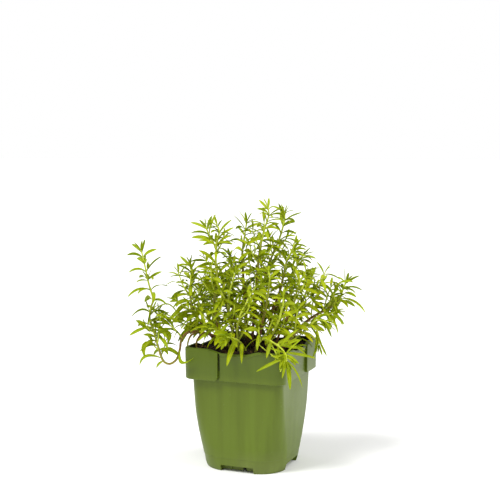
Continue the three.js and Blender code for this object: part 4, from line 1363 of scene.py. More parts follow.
def bent_between(root, control, tip, shares):
    return (1 - shares) ** 2 * root + 2 * shares * (1 - shares) * control + shares ** 2 * tip


def half_width(leaf, share):
    if leaf.get("broad"):
        half = (4 * share * (1 - share)) ** 0.7 * leaf["half"]
    else:
        half = 2.6 * share ** 0.85 * (1 - share) ** 0.65 * leaf["half"] * LEAF_NARROWING
    return np.maximum(half, LEAF_STALK_HALF * (1 - share))


def blade_points(leaf, shares, fold, twist):
    share = shares[:, None]
    root, control, tip = leaf["root"], leaf["control"], leaf["tip"]
    centre = bent_between(root, control, tip, share)
    along = unit((1 - share) * (control - root) + share * (tip - control))
    across = unit(np.cross(tip - root, leaf["face"]))
    width = unit(across - along * (along @ across)[:, None])
    top = np.cross(width, along)
    angle = twist * share
    width, top = width * np.cos(angle) + top * np.sin(angle), top * np.cos(angle) - width * np.sin(angle)
    half = half_width(leaf, share)
    lift = fold * np.abs(SECTION_SIDE) * half - LEAF_THICKNESS * SECTION_BELOW * (1 - 0.5 * share)
    ring = centre[:, None, :] + width[:, None, :] * (SECTION_SIDE * half)[:, :, None]
    ring = ring + top[:, None, :] * lift[:, :, None]
    return np.concatenate([ring.reshape(-1, 3), tip[None, :]])


print("points on a large and a small blade:",
      [len(shares) * SECTION_COUNT + 1 for shares in (BLADE_SHARES, SMALL_BLADE_SHARES)])

# %% Faces and numbers of a blade
def tube_faces(rings, sides):
    faces = [list(range(sides))[::-1]]
    for low in range(0, (rings - 1) * sides, sides):
        for step in range(sides):
            after = (step + 1) % sides
            faces.append([low + step, low + after, low + sides + after, low + sides + step])
    return faces


def blade_faces(rings):
    last = (rings - 1) * SECTION_COUNT
    point = last + SECTION_COUNT
    return tube_faces(rings, SECTION_COUNT) + [
        [last + step, last + (step + 1) % SECTION_COUNT, point] for step in range(SECTION_COUNT)]


def blade_numbers(shares, luck, youth):
    rings = len(shares)
    count = rings * SECTION_COUNT + 1
    return {
        "luck": np.full(count, luck),
        "youth": np.full(count, youth),
        "from_rib": np.append(np.tile(np.abs(SECTION_SIDE), rings), 0),
        "underside": np.append(np.tile(np.minimum(SECTION_BELOW, 1), rings), 0),
        "along": np.append(np.repeat(shares, SECTION_COUNT), 1),
    }


FACES_FOR = {len(shares): blade_faces(len(shares)) for shares in (BLADE_SHARES, SMALL_BLADE_SHARES)}
print("faces on a large and a small blade:", [len(faces) for faces in FACES_FOR.values()])

# %% [markdown]
# ## The shape of a stem
#
# A young savory stem is bluntly four-sided, swells at each pair of leaves and tapers to the tip.
# The tube takes its places from the centre line in short steps. Its side direction is carried
# from step to step, which keeps the corners of the stem from twisting.

# %% Build a stalk
STEM_TIP_RADIUS = 0.45
STALK_STEP = 2.4
STALK_LEAST_STEPS = 3
STALK_TAPER_POWER = 3
STALK_SIDES = 8
STALK_ANGLES = np.arange(STALK_SIDES) / STALK_SIDES * 2 * math.pi
STALK_FULLNESS = 1.12
STALK_BLUNTNESS = 1 + 0.08 * np.cos(4 * STALK_ANGLES)
NODE_SWELL = 0.28
NODE_SPREAD = 1.3


def stalk_points(line, root_radius, tip_radius, swollen):
    steps = max(STALK_LEAST_STEPS, round(line["length"] / STALK_STEP))
    side = turned((1, 0, 0))
    rings = []
    for step in range(steps + 1):
        distance = line["length"] * step / steps
        centre, along = place_on(line, distance)
        side = unit(side - along * np.dot(side, along))
        across = np.cross(along, side)
        swell = sum(math.exp(-((distance - place) / NODE_SPREAD) ** 2) for place in swollen)
        radius = root_radius + (tip_radius - root_radius) * (step / steps) ** STALK_TAPER_POWER
        radius *= STALK_FULLNESS * (1 + NODE_SWELL * swell)
        rings.append(centre + radius * (np.outer(np.cos(STALK_ANGLES) * STALK_BLUNTNESS, side)
                                        + np.outer(np.sin(STALK_ANGLES) * STALK_BLUNTNESS, across)))
    return np.concatenate(rings), steps + 1


def stalk_faces(rings):
    last = (rings - 1) * STALK_SIDES
    return tube_faces(rings, STALK_SIDES) + [list(range(last, last + STALK_SIDES))]


print("rings on the tallest stalk:", stalk_points(tall_line, tall_stem["radius"], STEM_TIP_RADIUS, [])[1])

# %% [markdown]
# ## Collecting a piece
#
# One stem is hundreds of small closed bodies: stalks, leaves and buds. Making an object of each
# would be slow and hard to handle, so a `Growth` gathers points, faces and numbers, and makes one
# mesh of them with two materials, bark and leaf.

# %% Gather stalks and blades
STALK, LEAF = 0, 1
NUMBERS = ("luck", "youth", "from_rib", "underside", "along")
STALK_LUCK = 0.5
AGE_BEND = 0.7
LEAFY_SHARP = math.radians(55)


class Growth:
    def __init__(self, tone):
        self.tone = tone
        self.points, self.faces, self.materials = [], [], []
        self.numbers = {name: [] for name in NUMBERS}
        self.count = 0
        self.leaves = 0

    def add(self, points, faces, material, numbers):
        self.faces += [[corner + self.count for corner in face] for face in faces]
        self.materials += [material] * len(faces)
        self.points.append(points)
        for name in NUMBERS:
            self.numbers[name].append(numbers[name])
        self.count += len(points)

    def add_leaf(self, leaf, draw, youth, small=False):
        shares = SMALL_BLADE_SHARES if small else BLADE_SHARES
        fold, twist = between(draw, 0.15, 0.55), between(draw, -0.45, 0.45)
        numbers = blade_numbers(shares, draw() * self.tone, youth * self.tone)
        self.add(blade_points(leaf, shares, fold, twist), FACES_FOR[len(shares)], LEAF, numbers)
        self.leaves += 1

    def add_stalk(self, line, root_radius, tip_radius, old_at_root, old_at_tip=0.0, swollen=()):
        points, rings = stalk_points(line, root_radius, tip_radius, swollen)
        age = old_at_tip + (old_at_root - old_at_tip) * np.linspace(1, 0, rings) ** AGE_BEND
        numbers = {name: np.zeros(len(points)) for name in NUMBERS}
        numbers["youth"] = np.repeat(1 - age, STALK_SIDES)
        numbers["luck"] = np.full(len(points), STALK_LUCK)
        self.add(points, stalk_faces(rings), STALK, numbers)

    def finish(self, name, materials):
        mesh = bpy.data.meshes.new(name)
        points = np.concatenate(self.points) * MM
        mesh.from_pydata(points.tolist(), [], self.faces)
        for number in NUMBERS:
            store_numbers(mesh, number, np.concatenate(self.numbers[number]))
        for material in materials:
            mesh.materials.append(material)
        mesh.polygons.foreach_set("material_index", self.materials)
        mesh.shade_smooth()
        mesh.set_sharp_from_angle(angle=LEAFY_SHARP)
        return put_in_scene(name, mesh)


print("materials on each stem: bark", STALK, "and leaf", LEAF)

# %% [markdown]
# ## Leaf finish
#
# The leaves are a bright yellow-green. Each leaf has a tone of its own between a deep green and a
# bright one, and the youngest, at the tips, share a softer green. Then come a paler rib, side
# veins that run forward to the margin, a deeper margin, tiny pits where the scent glands sit, a
# duller underside with painted shade that darkens it, and here and there a yellowing leaf. Light
# passes through a thin leaf, which the shader's subsurface part gives.

# %% Finish the leaves
LEAF_DEEP = seen_colour(128, 145, 0)
LEAF_BRIGHT = seen_colour(185, 192, 0)
LEAF_YOUNG = seen_colour(145, 162, 22)
LEAF_UNDERSIDE_SHADE = seen_colour(103, 120, 0)
LEAF_YELLOWED = seen_colour(186, 176, 10)
LEAF_RIB = seen_colour(170, 194, 70)
VEIN_PAIRS = 9.0
VEIN_SWEEP = 1.1


def side_veins(tree, along, from_rib):
    forward = multiply(tree, from_rib, VEIN_SWEEP)
    swept = calculate(tree, "SUBTRACT", multiply(tree, along, VEIN_PAIRS), forward)
    return spread(tree, calculate(tree, "PINGPONG", swept, 0.5), 0.09, 0.0)


def leaf_material():
    material, tree, shader = new_material("savory_leaf", specular=0.08)
    let_light_through(shader, weight=0.12, radius=(0.6, 1.0, 0.15), scale=0.0008)
    luck, youth, from_rib, underside, along = (read_number(tree, name) for name in NUMBERS)
    clouds = place_group(tree, "mottle", Scale=260.0, Low=0.35, High=0.65)
    grain = place_group(tree, "fine_grain", Scale=5200.0, Detail=3.0)
    tone = calculate(tree, "ADD", multiply(tree, luck, 0.75), multiply(tree, clouds, 0.25))
    colour = mix_colours(tree, tone, LEAF_DEEP, LEAF_BRIGHT)
    colour = mix_colours(tree, multiply(tree, youth, 0.85), colour, LEAF_YOUNG)
    yellowing = multiply(tree, spread(tree, luck, 0.975, 0.995), spread(tree, along, 0.1, 0.8, 0.45, 0.9))
    colour = mix_colours(tree, yellowing, colour, LEAF_YELLOWED)
    # painted shade: the underside of each leaf is painted darker, as shade falls under a leaf
    colour = mix_colours(tree, multiply(tree, underside, 0.8), colour, LEAF_UNDERSIDE_SHADE)
    rib = multiply(tree, spread(tree, from_rib, 0.16, 0.02), 0.55)
    colour = mix_colours(tree, rib, colour, LEAF_RIB)
    margin = multiply(tree, spread(tree, from_rib, 0.6, 1.0), 0.4)
    colour = mix_colours(tree, margin, colour, LEAF_DEEP)
    veins = side_veins(tree, along, from_rib)
    colour = mix_colours(tree, multiply(tree, veins, 0.22), colour, LEAF_RIB)
    skin = spread(tree, grain, 0.3, 0.7, 0.4, 0.52)
    rough = calculate(tree, "ADD", skin, multiply(tree, underside, 0.2))
    glands = add_node(tree, "ShaderNodeTexVoronoi", {"Vector": object_place(tree), "Scale": 1900.0})
    pits = spread(tree, glands.outputs["Distance"], 0.1, 0.3)
    pitted = calculate(tree, "ADD", pits, multiply(tree, grain, 0.5))
    relief = calculate(tree, "SUBTRACT", pitted, veins)
    surface(tree, shader, colour, rough, relief, strength=0.35, distance=0.0001)
    return material


leaf_finish = leaf_material()
print("leaf finish has", len(leaf_finish.node_tree.nodes), "nodes")

# %% [markdown]
# ## Stem finish
#
# A savory shoot is pale green and finely downy in its first weeks. Below that it turns olive,
# and at the base it is a small red-brown wooden branch with thin cracked bark. The number
# `youth` rises along every stalk, from 0 or less at an old root toward 1 at a young tip, and
# drives the whole change.

# %% Finish the stalks
STALK_YOUNG = seen_colour(194, 208, 68)
STALK_OLIVE = seen_colour(150, 156, 58)
STALK_RED = seen_colour(138, 98, 58)
STALK_BARK = seen_colour(104, 78, 50)


def stalk_material():
    material, tree, shader = new_material("savory_stalk", specular=0.1)
    let_light_through(shader, weight=0.05, radius=(0.6, 1.0, 0.2), scale=0.0006)
    youth = read_number(tree, "youth")
    streaks = place_group(tree, "upright_streaks", Scale=2600.0, Stretch=0.12)
    clouds = place_group(tree, "mottle", Scale=300.0, Low=0.35, High=0.65)
    grain = place_group(tree, "fine_grain", Scale=4200.0, Detail=4.0)
    patchy = calculate(tree, "ADD", youth, spread(tree, clouds, 0.0, 1.0, -0.07, 0.07))
    colour = mix_colours(tree, spread(tree, patchy, 0.02, 0.3), STALK_BARK, STALK_RED)
    colour = mix_colours(tree, spread(tree, patchy, 0.3, 0.55), colour, STALK_OLIVE)
    colour = mix_colours(tree, spread(tree, patchy, 0.55, 0.85), colour, STALK_YOUNG)
    dark_fibre = multiply(tree, spread(tree, streaks, 0.5, 0.65), spread(tree, youth, 0.6, 0.1, 0.1, 0.5))
    colour = mix_colours(tree, dark_fibre, colour, STALK_BARK)
    rough = spread(tree, youth, 0.0, 1.0, 0.78, 0.5)
    relief = calculate(tree, "ADD", streaks, multiply(tree, grain, 0.5))
    surface(tree, shader, colour, rough, relief, strength=0.5, distance=0.0002)
    return material


stalk_finish = stalk_material()
print("stalk finish has", len(stalk_finish.node_tree.nodes), "nodes")

# %% [markdown]
# ## Fuller than the solids
#
# The solids hold the main leaves alone. On the living plant many leaf pairs carry small tufts in
# their angles, every stem branches into short leafy twigs from the soil up, and the tip of a
# shoot opens into a little star of leaves. They fill the bush until only small gaps of white are
# left. They follow the same rule as the main leaves, and every leaf near a tip is drawn out
# finer than the solids can show. A leaf that would leave the solids' box, or grow through the
# rim or the soil, is dropped.

# %% Keep new leaves clear
BOX_MARGIN = 0.3
RIM_INSIDE = 42.5
RIM_OUTSIDE = 47.4
RIM_CLEAR_HEIGHT = 108.4
SOIL_CLEAR = 0.3
CHECKED_SHARES = np.array([0.3, 0.5, 0.75, 1.0])[:, None]
box_low = np.array(cad_low) / MM + BOX_MARGIN
box_high = np.array(cad_high) / MM - BOX_MARGIN


def is_free(leaf):
    places = bent_between(leaf["root"], leaf["control"], leaf["tip"], CHECKED_SHARES)
    if np.any(places < box_low) or np.any(places > box_high):
        return False
    for x, y, z in places:
        reach = max(abs(x), abs(y))
        if z < RIM_CLEAR_HEIGHT and RIM_INSIDE < reach < RIM_OUTSIDE:
            return False
        if reach <= RIM_INSIDE and z < soil_height(x, y) + SOIL_CLEAR:
            return False
    return True


print("box for growth, in mm:", box_low.round(1), box_high.round(1))

# %% Draw out the leaves
FULL_WIDTH_DEPTH = 22.0
TIP_WIDTH_SHARE = 0.68
TIP_DRAWN_OUT = 0.34
LOW_DRAWN_OUT = 0.1
INNERMOST_DEPTH = 1.0
INNERMOST_DRAWN_OUT = 0.05


def drawn_out(leaf, plan):
    age = min(plan["depth"] / FULL_WIDTH_DEPTH, 1)
    longer = TIP_DRAWN_OUT + (LOW_DRAWN_OUT - TIP_DRAWN_OUT) * age
    if plan["depth"] <= INNERMOST_DEPTH:
        longer = INNERMOST_DRAWN_OUT
    slender = {**leaf, "half": leaf["half"] * (TIP_WIDTH_SHARE + (1 - TIP_WIDTH_SHARE) * age)}
    longer_leaf = {**slender, "tip": leaf["tip"] + (leaf["tip"] - leaf["control"]) * 2 * longer}
    return longer_leaf if is_free(longer_leaf) else slender


print("a tip leaf has", TIP_WIDTH_SHARE, "of its solid's width and is drawn out by", TIP_DRAWN_OUT)

# %% Grow tufts
BUD_STARTS_AT = 11.0
BUD_CHANCE = 0.25
BUD_TURNS = (90, 270)
BUD_TURN_SPREAD = 50
BUD_FULL_DEPTH = 55
BUD_ALONG, BUD_OUT = 0.85, 0.52
BUD_LEAF_LENGTH, BUD_LEAF_GROWTH = 6, 4.5
BUD_LEAF_HALF, BUD_LEAF_WIDENING = 0.9, 0.35
BUD_STALK = dict(root_radius=0.35, tip_radius=0.3, old_at_root=0.15)


def add_bud(growth, plan, draw):
    size = min(plan["depth"] / BUD_FULL_DEPTH, 1)
    out = outward(plan["along"], plan["turn"])
    along = unit(plan["along"] * BUD_ALONG + out * BUD_OUT)
    stub = between(draw, 0.6, 2.1 + 2.5 * size)
    top = plan["centre"] + along * stub
    usual = BUD_LEAF_LENGTH + BUD_LEAF_GROWTH * size
    for turn in BUD_TURNS:
        leaf = leaf_from(dict(centre=top, along=along, turn=turn + (draw() - 0.5) * BUD_TURN_SPREAD,
                              open=between(draw, 18, 44), droop=between(draw, 0.1, 0.5),
                              roll=(draw() - 0.5) * BLADE_ROLL,
                              length=usual * between(draw, 0.75, 1.25),
                              half=BUD_LEAF_HALF + BUD_LEAF_WIDENING * size))
        if is_free(leaf):
            growth.add_leaf(leaf, draw, between(draw, 0.3, 0.7), small=True)
    growth.add_stalk(line_along(np.array([plan["centre"], top])), **BUD_STALK)


print("leaves in a tuft:", len(BUD_TURNS))

# %% Grow twigs
TWIG_LOW_LENGTH = 30.0
TWIG_HIGH_LENGTH = 15.0
TWIG_TURN_STEP = 137.5
TWIG_RADIUS = 0.52
TWIG_TIP_RADIUS = 0.32
TWIG_BARE = 3.0
TWIG_LEAF_WIDTH = 1.1
TWIG_AGE = 0.4
TWIG_YOUTH, TWIG_LEAST_YOUTH, TWIG_YOUTH_DEPTH = 0.75, 0.05, 28
TWIG_SHARES = np.linspace(0, 1, 9)[:, None]
TWIG_BEND_AT = 0.42
TWIG_BEYOND_BEND = 0.6
TWIG_START_ALONG, TWIG_START_OUT = 0.6, 0.8
TWIG_END_ALONG, TWIG_END_UP = 0.7, 0.45
TWIG_PAIRS = [
    dict(depth=0.6, open=24, droop=0.4, length=0.55),
    dict(depth=3.6, open=42, droop=0.8, length=0.76),
    dict(depth=9.6, open=54, droop=1.0, length=0.92),
    dict(depth=17.5, open=60, droop=1.1, length=1.0),
]


def twig_line(line, distance, turn, size, draw):
    centre, along = place_on(line, distance)
    full = TWIG_LOW_LENGTH + (TWIG_HIGH_LENGTH - TWIG_LOW_LENGTH) * distance / line["length"]
    length = size * full * between(draw, 0.75, 1.25)
    out = outward(along, turn)
    start = unit(along * TWIG_START_ALONG + out * TWIG_START_OUT)
    control = centre + start * length * TWIG_BEND_AT
    onward = unit(along * TWIG_END_ALONG + out * between(draw, 0.2, 0.7) + UP * TWIG_END_UP)
    end = control + onward * length * TWIG_BEYOND_BEND
    return line_along(bent_between(centre, control, end, TWIG_SHARES))


def add_twig(growth, twig, usual, draw):
    places = twig["places"]
    if not is_free(dict(root=places[0], control=places[len(places) // 2], tip=places[-1])):
        return
    pairs = [pair for pair in TWIG_PAIRS if pair["depth"] < twig["length"] - TWIG_BARE]
    plans = leaf_plans(twig, pairs, 360 * draw(), usual, draw)
    swollen = [twig["length"] - pair["depth"] for pair in pairs]
    growth.add_stalk(twig, TWIG_RADIUS, TWIG_TIP_RADIUS, TWIG_AGE * draw(), swollen=swollen)
    for plan in plans:
        leaf = drawn_out(leaf_from(plan), plan)
        leaf["half"] *= TWIG_LEAF_WIDTH
        if is_free(leaf):
            youth = max(TWIG_YOUTH - plan["depth"] / TWIG_YOUTH_DEPTH, TWIG_LEAST_YOUTH)
            growth.add_leaf(leaf, draw, youth * between(draw, 0.5, 1.1))


print("leaves on a full twig:", 2 * len(TWIG_PAIRS))

# %% Space the twigs
TWIG_USUAL = dict(first=17.0, free_top=22.0, spacing=13.0, limit=99, size=1.0)
FIRST_TWIG_SPREAD = 6
TWIG_CHANGES = {
    "stem_far_left": dict(first=99.0, free_top=66.0, spacing=6.0, size=0.6),
    "stem_left": dict(first=24.0, free_top=16.0, spacing=7.0, size=1.15),
    "stem_low_left": dict(first=20.0, free_top=16.0, spacing=8.0, size=1.1),
    "stem_over_corner": dict(limit=4),
    "stem_front_low": dict(limit=0),
    "stem_far_right": dict(first=40.0, free_top=30.0, spacing=6.0),
    "stem_front_right": dict(spacing=24.0),
    "stem_right_front": dict(first=30.0, spacing=16.0),
    "stem_right": dict(first=52.0, spacing=6.0, free_top=10.0, size=1.35),
}
for name in ("inner_back", "inner_right", "back", "back_right"):
    TWIG_CHANGES["stem_" + name] = dict(spacing=34.0)
for name in ("middle_back", "tall", "tall_back", "right_back", "right_tall"):
    TWIG_CHANGES["stem_" + name] = dict(first=24.0, free_top=32.0, spacing=12.0, size=0.85)
for name in ("left_fork", "inner_left", "front_left", "back_left"):
    TWIG_CHANGES["stem_" + name] = dict(spacing=9.5, free_top=18.0)


def add_twigs(growth, stem, line, first_turn, draw):
    rule = {**TWIG_USUAL, **TWIG_CHANGES.get(stem["name"], {})}
    distance = rule["first"] + FIRST_TWIG_SPREAD * draw()
    for order in range(rule["limit"]):
        if distance > line["length"] - rule["free_top"]:
            return
        twig = twig_line(line, distance, first_turn + TWIG_TURN_STEP * order, rule["size"], draw)
        add_twig(growth, twig, stem["leaf"], draw)
        distance += rule["spacing"] * between(draw, 0.75, 1.25)


print("stems whose twigs are spaced in a way of their own:", len(TWIG_CHANGES))

# %% Open the tips into stars
STARS = [dict(depth=1.6, leaves=3, open=52, droop=0.75, length=0.64, half=0.075),
         dict(depth=7.5, leaves=3, open=58, droop=1.0, length=0.92, half=0.1)]
STAR_TURN_SPREAD = 40
STAR_OPEN_SPREAD = 20


def add_star(growth, line, star, usual, draw):
    centre, along = place_on(line, line["length"] - star["depth"])
    turn = 360 * draw()
    for _ in range(star["leaves"]):
        turn += 360 / star["leaves"]
        leaf = leaf_from(dict(centre=centre, along=along, half=usual * star["half"],
                              turn=turn + (draw() - 0.5) * STAR_TURN_SPREAD,
                              open=star["open"] + (draw() - 0.5) * STAR_OPEN_SPREAD,
                              droop=star["droop"] * between(draw, 0.7, 1.3),
                              length=usual * star["length"] * between(draw, 0.85, 1.15),
                              roll=(draw() - 0.5) * BLADE_ROLL))
        if is_free(leaf):
            growth.add_leaf(leaf, draw, between(draw, 0.4, 0.8))


print("extra leaves near each tip:", sum(star["leaves"] for star in STARS))

# %% [markdown]
# ## Runners, fine twigs and fine leaves
#
# Two of the stems carry thin bare stalks, called runners here, that cross the view or loop at the
# rim. A few fine leaves and twigs are put where the plant has them: each grows `at` a distance
# along its stem and arches `by` a point over to its `tip`, as the broad leaves do.

# %% Runners
RUNNER_TAPER = 0.75
RUNNERS = {
    "stem_far_left": [
        dict(radius=0.55, age=0.35, line=[(-89.5, -6, 133), (-82, -5, 140), (-75, -4, 142.5),
                                          (-69, -3, 138.5), (-64.5, -2, 130)]),
        dict(radius=0.85, age=0.66, line=[(-45, 0.5, 116), (-50.5, -2, 116.2), (-54.3, -6, 114.2),
                                          (-56.3, -10, 109.6), (-56.9, -10, 104.3)]),
        dict(radius=0.85, age=0.72, line=[(-43, 0.5, 115.5), (-46, -4, 114), (-48.3, -8, 111),
                                          (-49.2, -9, 106.7), (-48.5, -9, 102.3)]),
    ],
    "stem_over_corner": [
        dict(radius=0.5, age=0.2, line=[(4, -30, 112.5), (10, -46, 110), (18, -58, 106),
                                        (26, -63.5, 102)]),
        dict(radius=0.5, age=0.2, line=[(14, -45, 117), (20, -56, 108), (24, -63, 99), (23, -66, 95)]),
    ],
}
print("runners:", sum(len(runners) for runners in RUNNERS.values()))

# %% Fine twigs and leaves
FINE_TWIGS = {
    "stem_tall": [dict(at=104, by=(10.8, 3, 203.4), tip=(10.3, 2, 214)),
                  dict(at=88, by=(-1.1, 2, 184.1), tip=(-2.4, 0, 195.7))],
    "stem_tall_back": [dict(at=96, by=(25.9, 22, 191.1), tip=(32, 20, 200.3))],
    "stem_right": [dict(at=46, by=(45.5, -3, 141.3), tip=(55, -5, 146.9)),
                   dict(at=60, by=(51.6, -2, 151.8), tip=(61.1, -4, 160))],
    "stem_far_right": [dict(at=60, by=(64.3, 2, 145), tip=(69.3, 0, 156.8))],
    "stem_left": [dict(at=34, by=(-50.7, 2, 120.8), tip=(-61.1, -2, 124.2))],
    "stem_left_fork": [dict(at=62, by=(-39.5, -10, 155.5), tip=(-43.3, -11, 163.5))],
    "stem_right_tall": [dict(at=92, by=(35, 2, 187.6), tip=(37, 0, 195.7))],
}
FINE_LEAVES = {
    "stem_left_fork": [
        dict(at=117, by=(-24.8, 1, 211.9), tip=(-17.9, 2, 216), half=1.1),
        dict(at=113, by=(-23, 0, 206.7), tip=(-15.9, 1, 209.3), half=1.2),
        dict(at=107, by=(-23.9, -2, 202.5), tip=(-17.5, -4, 202.2), half=1.2),
        dict(at=90, by=(-37.8, -4, 186.9), tip=(-47, -5, 189.6), half=1.6),
        dict(at=80, by=(-40.4, -6, 178.3), tip=(-49.6, -7, 174.4), half=1.5),
        dict(at=80, by=(-24.7, -5, 177.7), tip=(-13.3, -6, 180.5), half=1.5),
        dict(at=78, by=(-23, -5, 171.6), tip=(-12.9, -6, 174.8), half=1),
        dict(at=76, by=(-38.7, -7, 173.6), tip=(-49.1, -8, 169.7), half=1.4),
        dict(at=72, by=(-38.6, -8, 168.4), tip=(-46.5, -9, 163.7), half=1.3),
        dict(at=68, by=(-40.4, -9, 163.3), tip=(-48.6, -10, 158.1), half=1.4),
    ],
    "stem_tall": [
        dict(at=118, by=(17.8, 6, 212.9), tip=(23.7, 5, 211.6), half=1.1),
        dict(at=116, by=(6.8, 6, 207.6), tip=(3.7, 5, 205.5), half=1.1),
    ],
    "stem_tall_back": [
        dict(at=110, by=(27.6, 21, 193.9), tip=(32.1, 20, 188.1), half=1.1),
        dict(at=108, by=(29.9, 22, 197.4), tip=(35.7, 21, 192.5), half=1),
    ],
    "stem_right_tall": [dict(at=102, by=(42, 2, 192.5), tip=(48, 0, 189.1), half=1.2)],
    "stem_over_corner": [
        dict(at=66, by=(22.0, -61, 111.5), tip=(14.6, -59, 113.2), half=1.2),
        dict(at=70, by=(22.7, -65, 106.4), tip=(15.3, -62, 107.5), half=1.6),
        dict(at=69, by=(21.9, -65, 109.7), tip=(18.2, -63, 103.5), half=1.4),
        dict(at=68, by=(32.8, -59, 115.3), tip=(41.2, -56, 120.6), half=1.2),
        dict(at=71, by=(32.6, -64, 104.5), tip=(38.1, -61, 101.0), half=1.5),
    ],
    "stem_left": [
        dict(at=79, by=(-52.6, 1, 170), tip=(-48.2, 0, 174.5), half=1.3),
        dict(at=66, by=(-65.5, 1, 153.1), tip=(-71.5, -2, 142.9), half=1.4),
        dict(at=60, by=(-62.8, -1, 148.1), tip=(-70.1, -4, 137.9), half=1.7),
        dict(at=44, by=(-58.6, 2, 134.3), tip=(-66.3, -3, 127), half=1.8),
        dict(at=36, by=(-55.2, 4, 125.9), tip=(-61.3, 1, 113.8), half=1.8),
        dict(at=30, by=(-48.2, 5, 121.2), tip=(-52.6, 3, 109.9), half=1.8),
    ],
    "stem_far_left": [
        dict(at=126, by=(-81.4, -12, 125.9), tip=(-77.7, -15, 118.4), half=1.7),
        dict(at=117, by=(-89.3, -12, 117), tip=(-95.2, -14, 116.5), half=1.5),
        dict(at=114, by=(-91.2, -11, 112.4), tip=(-93.1, -14, 105.9), half=1.5),
        dict(at=106, by=(-76.3, -12, 105.5), tip=(-73.5, -15, 99), half=1.7),
        dict(at=170, by=(-84.3, -14, 169.6), tip=(-77.8, -16, 172.1), half=2),
        dict(at=169, by=(-97.5, -12, 165.4), tip=(-100.8, -13, 162.5), half=0.9),
        dict(at=161, by=(-96.7, -12, 158.4), tip=(-99.7, -13, 151.9), half=1.2),
        dict(at=158, by=(-84.4, -14, 155.1), tip=(-85.7, -15, 144.8), half=1.6),
    ],
}
print("fine twigs:", sum(len(twigs) for twigs in FINE_TWIGS.values()), "fine leaves:",
      sum(len(leaves) for leaves in FINE_LEAVES.values()))

# %% [markdown]
# ## Old wood and deep green
#
# A stem's base is as woody as the stem is long, up to full bark at `WOODY_LENGTH`. `ROOT_AGE`
# names the stems that differ. This year's shoots have low values and are green almost down to
# the soil, and the oldest stems have more than 1, which carries their bark further up.
# `LEAF_TONE` sets how bright a stem's leaves may be: those that hang low at the left and over the
# corner are the deepest. Stems that aren't named there have leaves of the full brightness.

# %% Ages and tones
WOODY_LENGTH = 75.0
SIDE_SHOOT_AGE = 0.3
ROOT_AGE = {
    "stem_far_left": 0.85, "stem_front": 0.4, "stem_left_fork": 0.75, "stem_over_corner": 0.35,
    "stem_front_low": 0.35, "stem_front_right": 0.5, "stem_inner_left": 0.6,
    "stem_middle_back": 1.25, "stem_far_right": 1.3, "stem_right_tall": 1.2,
}
LEAF_TONE = {
    "stem_far_left": 0.1, "stem_left": 0.4, "stem_low_left": 0.6, "stem_left_fork": 0.7,
    "stem_tall": 0.72, "stem_tall_back": 0.85, "stem_over_corner": 0.12, "stem_far_right": 0.75,
    "stem_front_low": 0.35, "stem_front_left": 0.85, "stem_front": 0.9,
}


def root_age(stem, length):
    return ROOT_AGE.get(stem["name"], min(length / WOODY_LENGTH, 1))


print("the tallest stem's base is", root_age(tall_stem, tall_line["length"]), "of the way to old wood")

# %% [markdown]
# ## Every stem in its place
#
# Each stem now becomes one piece: its stalks with a swelling at every pair, the leaves that lie
# on the solid with their tufts, a star at its tip, the broad and fine leaves, then thin runners
# and twigs. The piece takes over from its solid, which stays hidden in the frame for collisions.

# %% Grow one stem
DRESSING_SEED = 1000
STEMS_WITHOUT_STARS = ["stem_far_left"]
BROAD_FACE = (0, -0.8, 0.6)
BROAD_NARROWING = {"stem_over_corner": 0.76, "stem_far_right": 0.9, "stem_front_low": 0.92}
BROAD_YOUTH = 0.3
LEAF_YOUTH, LEAF_YOUTH_DEPTH = 0.9, 26


def broad_leaf(line, narrowing, at, by, tip, half):
    return dict(root=place_on(line, at)[0], control=turned(by), tip=turned(tip), face=turned(BROAD_FACE),
                half=half * narrowing, broad=True)


def bent_twig(line, at, by, tip):
    return line_along(bent_between(place_on(line, at)[0], turned(by), turned(tip), TWIG_SHARES))


def leaf_youth(plan, draw):
    return max(LEAF_YOUTH - plan["depth"] / LEAF_YOUTH_DEPTH, 0) * between(draw, 0.7, 1.1)


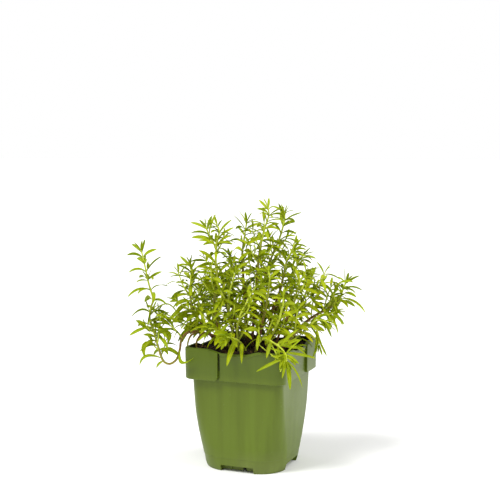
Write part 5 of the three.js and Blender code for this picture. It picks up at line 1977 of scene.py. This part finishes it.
def add_branch(growth, branch, age_at_root, draw):
    line = branch["line"]
    swollen = sorted({line["length"] - plan["depth"] for plan, _ in branch["leaves"]})
    growth.add_stalk(line, branch["radius"], STEM_TIP_RADIUS, age_at_root, swollen=swollen)
    for plan, leaf in branch["leaves"]:
        growth.add_leaf(drawn_out(leaf, plan), draw, leaf_youth(plan, draw))
        if plan["depth"] > BUD_STARTS_AT and draw() < BUD_CHANCE:
            add_bud(growth, plan, draw)


def grow_stem(stem):
    name = stem["name"]
    (main, *side_shoots), _ = GROWN[name]
    line = main["line"]
    draw = draws_from(stem["seed"] + DRESSING_SEED)
    growth = Growth(LEAF_TONE.get(name, 1))
    add_branch(growth, main, root_age(stem, line["length"]), draw)
    for star in [] if name in STEMS_WITHOUT_STARS else STARS:
        add_star(growth, line, star, stem["leaf"], draw)
    for shoot in side_shoots:
        add_branch(growth, shoot, SIDE_SHOOT_AGE, draw)
    for leaf in stem.get("broad", []) + FINE_LEAVES.get(name, []):
        blade = broad_leaf(line, BROAD_NARROWING.get(name, 1), **leaf)
        growth.add_leaf(blade, draw, BROAD_YOUTH * draw())
    for runner in RUNNERS.get(name, []):
        ends = [runner[what] * taper for what in ("radius", "age") for taper in (1, RUNNER_TAPER)]
        growth.add_stalk(centre_line(runner["line"]), *ends)
    add_twigs(growth, stem, line, main["turn"], draw)
    for twig in FINE_TWIGS.get(name, []):
        add_twig(growth, bent_twig(line, **twig), stem["leaf"], draw)
    return growth


print("stems without a star at the tip:", STEMS_WITHOUT_STARS)

# %% Grow all the stems
triangle_total = 0
leaf_total = 0
largest = 0
for stem in STEMS:
    growth = grow_stem(stem)
    leafy = growth.finish("leafy_" + stem["name"], [stalk_finish, leaf_finish])
    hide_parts(stem["name"])
    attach(leafy, "root")
    triangles = sum(len(face) - 2 for face in growth.faces)
    triangle_total += triangles
    largest = max(largest, triangles)
    leaf_total += growth.leaves
print("leaves:", leaf_total, "triangles in the plant:", triangle_total, "in its largest piece:", largest)

# %% [markdown]
# ## The box of the solids
#
# A dressed piece must stay inside the box of the solids. The box of the solids is written here.

# %% Write the solids' box
print("solids in mm: ", [round(value / MM, 1) for value in (*cad_low, *cad_high)])
